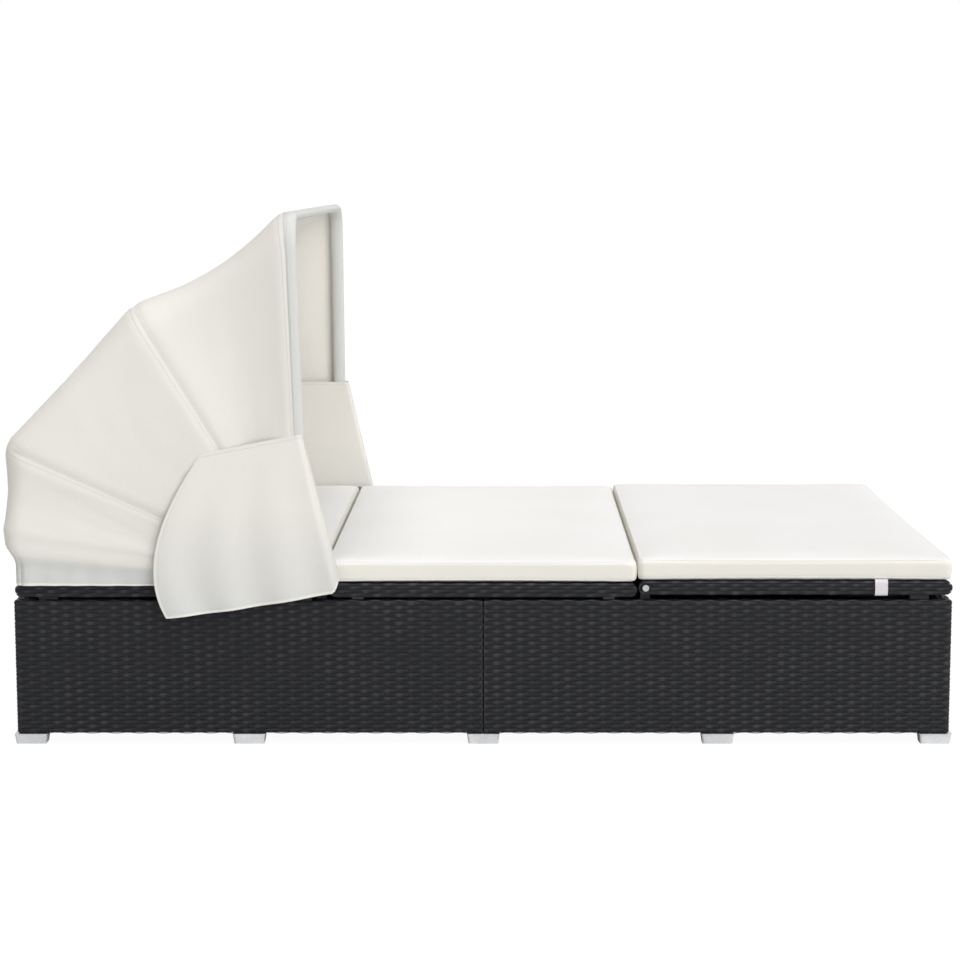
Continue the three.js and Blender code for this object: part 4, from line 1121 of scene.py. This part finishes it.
def bowLine(u, i):
    radial, across, lift, out = station(u, i)
    angle = math.radians(hood["angles"][i])
    x = hood["pivotX"] + radial * math.cos(angle) + lean(radial, across, i)
    z = hood["pivotZ"] + radial * math.sin(angle)
    places = np.stack([x, across + out * hood["besides"][i], z], -1)
    places = places + lift[..., None] * hood["overs"][i] * bowNormals[i]
    return places, lift, out


def crumple(u, v, seed, scaleU, scaleV):
    return np.array([noise.noise(Vector((a * scaleU, b * scaleV, seed))) for a, b in zip(u, v)])


def clothGrid(name, columns, rows, shape):
    # a grid is added flat and each point is laid where the cloth is; the map keeps lengths in metres
    deselectAll()
    bpy.ops.mesh.primitive_grid_add(x_subdivisions=columns, y_subdivisions=rows, size=1)
    piece = bpy.context.object
    piece.name = name
    co = readPoints(piece)
    u, v = co[:, 0] + 0.5, co[:, 1] + 0.5
    places = shape(u, v)
    writePoints(piece, places)
    order = np.lexsort((np.round(u, 5), np.round(v, 5)))
    wide = len(np.unique(np.round(u, 5)))
    grid = places[order].reshape(-1, wide, 3)
    acrossStep = np.linalg.norm(np.diff(grid, axis=1), axis=2)
    alongStep = np.linalg.norm(np.diff(grid, axis=0), axis=2)
    mapU = np.concatenate([[0], np.cumsum(acrossStep.mean(0))])
    mapV = np.concatenate([[0], np.cumsum(alongStep.mean(1))])
    uniqueU, uniqueV = np.unique(np.round(u, 5)), np.unique(np.round(v, 5))
    metresU, metresV = np.interp(u, uniqueU, mapU), np.interp(v, uniqueV, mapV)
    corner = np.empty(len(piece.data.loops), int)
    piece.data.loops.foreach_get("vertex_index", corner)
    flat = np.stack([metresU[corner], metresV[corner]], 1)
    piece.data.uv_layers[0].data.foreach_set("uv", flat.reshape(-1))
    rim = np.minimum.reduce([metresU, mapU[-1] - metresU, metresV, mapV[-1] - metresV])
    addNumbers(piece, "rim", rim)
    a = grid[1:, 1:] - grid[:-1, :-1]
    b = grid[1:, :-1] - grid[:-1, 1:]
    area = float(np.linalg.norm(np.cross(a, b), axis=2).sum() / 2)
    return piece, (float(mapU[-1]), float(mapV[-1])), area


def thicken(piece, thickness, outside):
    # the wall grows to both sides of the grid; outside says whether the grid's faces look outwards
    if not outside:
        editWhole(piece, (bpy.ops.mesh.flip_normals, {}))
    wall = piece.modifiers.new("wall", "SOLIDIFY")
    wall.thickness = thickness
    wall.offset = 0
    applyModifiers(piece)
    smooth(piece, 60)


def looksOut(piece, centre):
    # true if the faces point away from the hood's inside
    total = 0.0
    for face in piece.data.polygons:
        total += (face.center - centre).dot(face.normal) * face.area
    return total > 0


def panelShape(i, hemmed):
    def shape(u, v):
        edge = hood["skirtFrom"] if hemmed else 1.0
        w = np.clip(v / edge, 0, 1)
        first, lift, out = bowLine(u, i)
        last, liftB, outB = bowLine(u, i + 1)
        span = last - first
        width = np.linalg.norm(span, axis=1)
        lift, out = (lift + liftB) / 2, (out + outB) / 2
        inset = hood["frontInset"] * (i == 0)
        places = first + span * (w + inset * (1 - w))[:, None]
        sag = hood["sagShares"][i] * width * np.sin(math.pi * w)
        # cloth stands out a little on both sides of each seam, which leaves a soft valley
        nearSeam = np.minimum(w, 1 - w) * width
        swell = hood["seamSwell"] * (1 - np.exp(-((nearSeam / hood["seamRise"]) ** 2)))
        swell = swell * np.exp(-nearSeam / hood["seamSettle"])
        folds = crumple(u, w, 3.7 + i, 9, 3) + 0.5 * crumple(u + w * 0.2, w, 8.1 + i, 24, 5)
        depth = hood["wrinkle"] * folds * np.sin(math.pi * w) ** 0.7
        push = -sag + swell + depth
        places += push[:, None] * lift[:, None] * panelNormals[i]
        places[:, 1] += push * out
        if hemmed:
            drop = np.clip((v - edge) / (1 - edge), 0, 1)
            bow, liftD, outD = bowLine(u, i + 1)
            fall = np.maximum(bow[:, 2] - hood["hemLow"], hood["leastFall"]) * drop
            tuck = np.clip((drop - hood["tuckFrom"]) / hood["tuckOver"], 0, 1)
            tuck = tuck * tuck * (3 - 2 * tuck)
            turns = u * 2 * math.pi * hood["pleats"] + 2.2 * crumple(u, drop * 0, 5.5, 20, 1)
            pleats = 0.5 + 0.5 * np.sin(turns)
            places[:, 2] -= fall
            places[:, 0] += hood["hemGather"] * liftD * tuck * (0.75 + 0.35 * pleats)
            inwards = hood["hemInwards"] + hood["pleatInwards"] * pleats
            places[:, 1] -= outD * tuck * inwards * np.clip(fall / 0.05, 0, 1)
        return places

    return shape


def hemShade(piece):
    # painted shade on the skirt below the rear bow, by the grid's own map
    flat = np.zeros((len(piece.data.vertices), 2))
    for face in piece.data.polygons:
        for loop, corner in zip(face.loop_indices, face.vertices):
            flat[corner] = piece.data.uv_layers[0].data[loop].uv
    rise = flat[:, 1] / flat[:, 1].max()
    return np.clip((rise - hood["greyFrom"]) / hood["greyOver"], 0, 1) * hood["greyest"]


insideHood = Vector((-0.55, 0, 0.45))
for i, name in enumerate(("front", "middle", "rear")):
    piece, flat, area = clothGrid(f"hood_{name}_cloth", hood["columns"], hood["rows"], panelShape(i, i == 2))
    addNumbers(piece, "under", hemShade(piece) if i == 2 else np.zeros(len(piece.data.vertices)))
    thicken(piece, hood["thickness"], looksOut(piece, insideHood))
    start, end = barPlace(i), barPlace(i + 1)
    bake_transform(piece)
    finishPiece(piece, None, "canopy", finishes["canopy"], f"canopy_{name}_panel")
    print("hood cloth made:", name, [round(x, 3) for x in flat], round(area, 3))


# Sleeve round the front bow

sleeve = {
    "halfOut": 0.0094,
    "halfWide": 0.0158,
    "nearFar": 0.0006,
    "around": 18,
    "ripple": 0.0006,
    "thickness": 0.0009,
}


def sleeveShape(u, v):
    radial, across, lift, out = station(u, 0)
    angle = math.radians(hood["angles"][0])
    x = hood["pivotX"] + radial * math.cos(angle) + lean(radial, across, 0)
    z = hood["pivotZ"] + radial * math.sin(angle)
    turn = 2 * math.pi * v
    wide = (sleeve["halfWide"] - sleeve["nearFar"] * across / hood["legPlane"]) * np.sin(turn)
    thick = sleeve["halfOut"] * np.cos(turn)
    thick = thick + sleeve["ripple"] * crumple(u, v, 2.2, 40, 2)
    # across the bow's plane the section is wide, and along its outward way it is thin
    sideways = np.stack([-math.sin(angle) * wide, 0 * wide, math.cos(angle) * wide], 1)
    outward = np.stack([math.cos(angle) * lift * thick, out * thick, math.sin(angle) * lift * thick], 1)
    return np.stack([x, across, z], 1) + sideways + outward


band, flat, area = clothGrid("hood_front_sleeve_cloth", hood["columns"], sleeve["around"], sleeveShape)
editWhole(band, (bpy.ops.mesh.remove_doubles, {"threshold": 0.00005}), recalculate)
thicken(band, sleeve["thickness"], True)
finishPiece(band, "canopy_front", "canopy", finishes["sleeve"], "canopy_front_sleeve")
print("sleeve made", [round(x, 3) for x in flat], round(area, 3))


# Side flaps, loose over the pivots

flap = {
    "reach": 0.764,
    "topFore": (0.005, 0.406),
    "topAft": (-0.257, 0.356),
    "bulge": (-0.462, 0.072),
    "lowAft": (-0.365, -0.103),
    "lowFore": (0.099, -0.032),
    "lowMiddle": (-0.15, -0.079),
    "swellShare": 0.45,
    "lap": 0.6256,
    "outMost": 0.6356,
    "foldDepth": 0.004,
    "folds": 3,
    "outerShare": 0.60,
    "foldShare": 0.10,
    "foldReach": 0.009,
    "lean": 0.0075,
    "lining": 0.60075,
    "liningDepth": 0.150,
    "liningLow": 0.392,
    "wander": 0.0016,
    "liningWander": 0.0006,
    "columns": 84,
    "rows": 56,
    "thickness": 0.0013,
    # below this height a flap turns grey over the second number, and so far
    "greyBelow": 0.52,
    "greyOver": 0.2,
    "greyest": 0.7,
}


def flapShape(sign):
    def spot(name):
        along, up = flap[name]
        return np.array([hood["pivotX"] + along * flap["reach"], hood["pivotZ"] + up * flap["reach"]])

    topFore, topAft, bulge = spot("topFore"), spot("topAft"), spot("bulge")
    lowAft, lowFore, lowMiddle = spot("lowAft"), spot("lowFore"), spot("lowMiddle")

    def curve(t, a, b, c):
        t = t[:, None]
        return (1 - t) ** 2 * a + 2 * t * (1 - t) * b + t**2 * c

    def line(t, a, b):
        return a + (b - a) * t[:, None]

    def shape(w, v):
        # out over the pivot, round the front bow's foot, and back inside the hood
        v = 1 - v
        outerShare, foldShare = flap["outerShare"], flap["foldShare"]
        u = np.clip(w / outerShare, 0, 1)
        turn = np.clip((w - outerShare) / foldShare, 0, 1)
        back = np.clip((w - outerShare - foldShare) / (1 - outerShare - foldShare), 0, 1)
        aft, fore = curve(v, topAft, bulge, lowAft), line(v, topFore, lowFore)
        top, low = line(u, topAft, topFore), curve(u, lowAft, lowMiddle, lowFore)
        across = aft + (fore - aft) * u[:, None]
        down = top + (low - top) * v[:, None]
        corners = line(u, topAft, topFore) * (1 - v[:, None]) + line(u, lowAft, lowFore) * v[:, None]
        place = across + down - corners
        swell = np.minimum(v / flap["swellShare"], 1)
        fold = flap["foldDepth"] * v * (1 + np.sin(2 * math.pi * flap["folds"] * u))
        out = flap["lap"] + (flap["outMost"] - flap["lap"]) * swell * (2 - swell) + fold
        out = out + flap["wander"] * crumple(u, v, 4.4, 6, 6) * v
        lining = flap["lining"] + flap["liningWander"] * crumple(w, v, 1.3, 9, 5) * back
        radius = (out - lining) / 2
        low = flap["liningLow"]
        level = low + (topFore[1] - low) * (place[:, 1] - lowFore[1]) / (topFore[1] - lowFore[1])
        x = place[:, 0] + flap["foldReach"] * np.sin(math.pi * turn) - flap["liningDepth"] * back
        y = np.where(turn > 0, lining + radius + radius * np.cos(math.pi * turn), out)
        z = place[:, 1] + (level - place[:, 1]) * turn
        return np.stack([x + sign * flap["lean"] * (1 - 0.5 * v), sign * y, z], 1)

    return shape


betweenFlaps = Vector((-0.45, 0, 0.45))
for sign, name in ((-1, "right"), (1, "left")):
    piece, flat, area = clothGrid(f"hood_flap_{name}_cloth", flap["columns"], flap["rows"], flapShape(sign))
    depths = flap["greyBelow"] - readPoints(piece)[:, 2]
    addNumbers(piece, "under", np.clip(depths / flap["greyOver"], 0, 1) * flap["greyest"])
    thicken(piece, flap["thickness"], looksOut(piece, betweenFlaps))
    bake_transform(piece)
    finishPiece(piece, None, "canopy", finishes["canopy"], f"canopy_flap_{name}")
print("flaps made")


# Straps: webbing that comes out under the leg cushion and is tucked under the panel

strapShape = {
    "thickness": 0.0012,
    "columns": 12,
    "rows": 48,
    "ripple": 0.0003,
    "sway": 0.0006,
    # how far the webbing's middle lies inside the solid's faces
    "inside": 0.0007,
    "innerInside": 0.001,
}


def strapPath(sign, low, high):
    # across and up: out from under the cushion, round the panel's edge, down its side and back under it
    side = max(abs(low.y), abs(high.y)) - strapShape["inside"]
    inner = min(abs(low.y), abs(high.y)) + strapShape["innerInside"]
    bottom = low.z + strapShape["inside"]
    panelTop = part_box("leg_section_weave")[1].z
    corners = [
        (side - 0.011, panelTop + 0.0024), (side - 0.0048, panelTop + 0.0018),
        (side - 0.0014, panelTop - 0.0005), (side, panelTop - 0.004),
        (side, bottom + 0.004), (side - 0.0012, bottom + 0.0012),
        (side - 0.004, bottom), (inner, bottom),
    ]
    lengths = [0]
    for (ya, za), (yb, zb) in zip(corners, corners[1:]):
        lengths.append(lengths[-1] + math.hypot(yb - ya, zb - za))
    return [sign * y for y, z in corners], [z for y, z in corners], lengths


for sign, name in ((-1, "right"), (1, "left")):
    low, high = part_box(f"leg_strap_{name}")
    ys, zs, lengths = strapPath(sign, low, high)

    def strapLay(u, v):
        run = v * lengths[-1]
        y = np.interp(run, lengths, ys)
        z = np.interp(run, lengths, zs)
        x = low.x + (high.x - low.x) * u
        fray = strapShape["ripple"] * crumple(u, v, 6.6, 3, 9)
        x = x + strapShape["sway"] * crumple(u * 0, v, 9.1, 1, 4)
        return np.stack([x, y + sign * fray, z], 1)

    columns, rows = strapShape["columns"], strapShape["rows"]
    piece, flat, area = clothGrid(f"leg_strap_{name}_webbing", columns, rows, strapLay)
    addNumbers(piece, "under", np.zeros(len(piece.data.vertices)))
    thicken(piece, strapShape["thickness"], True)
    finishPiece(piece, "leg_section", "strap", finishes["webbing"], f"leg_strap_{name}")
print("straps made")
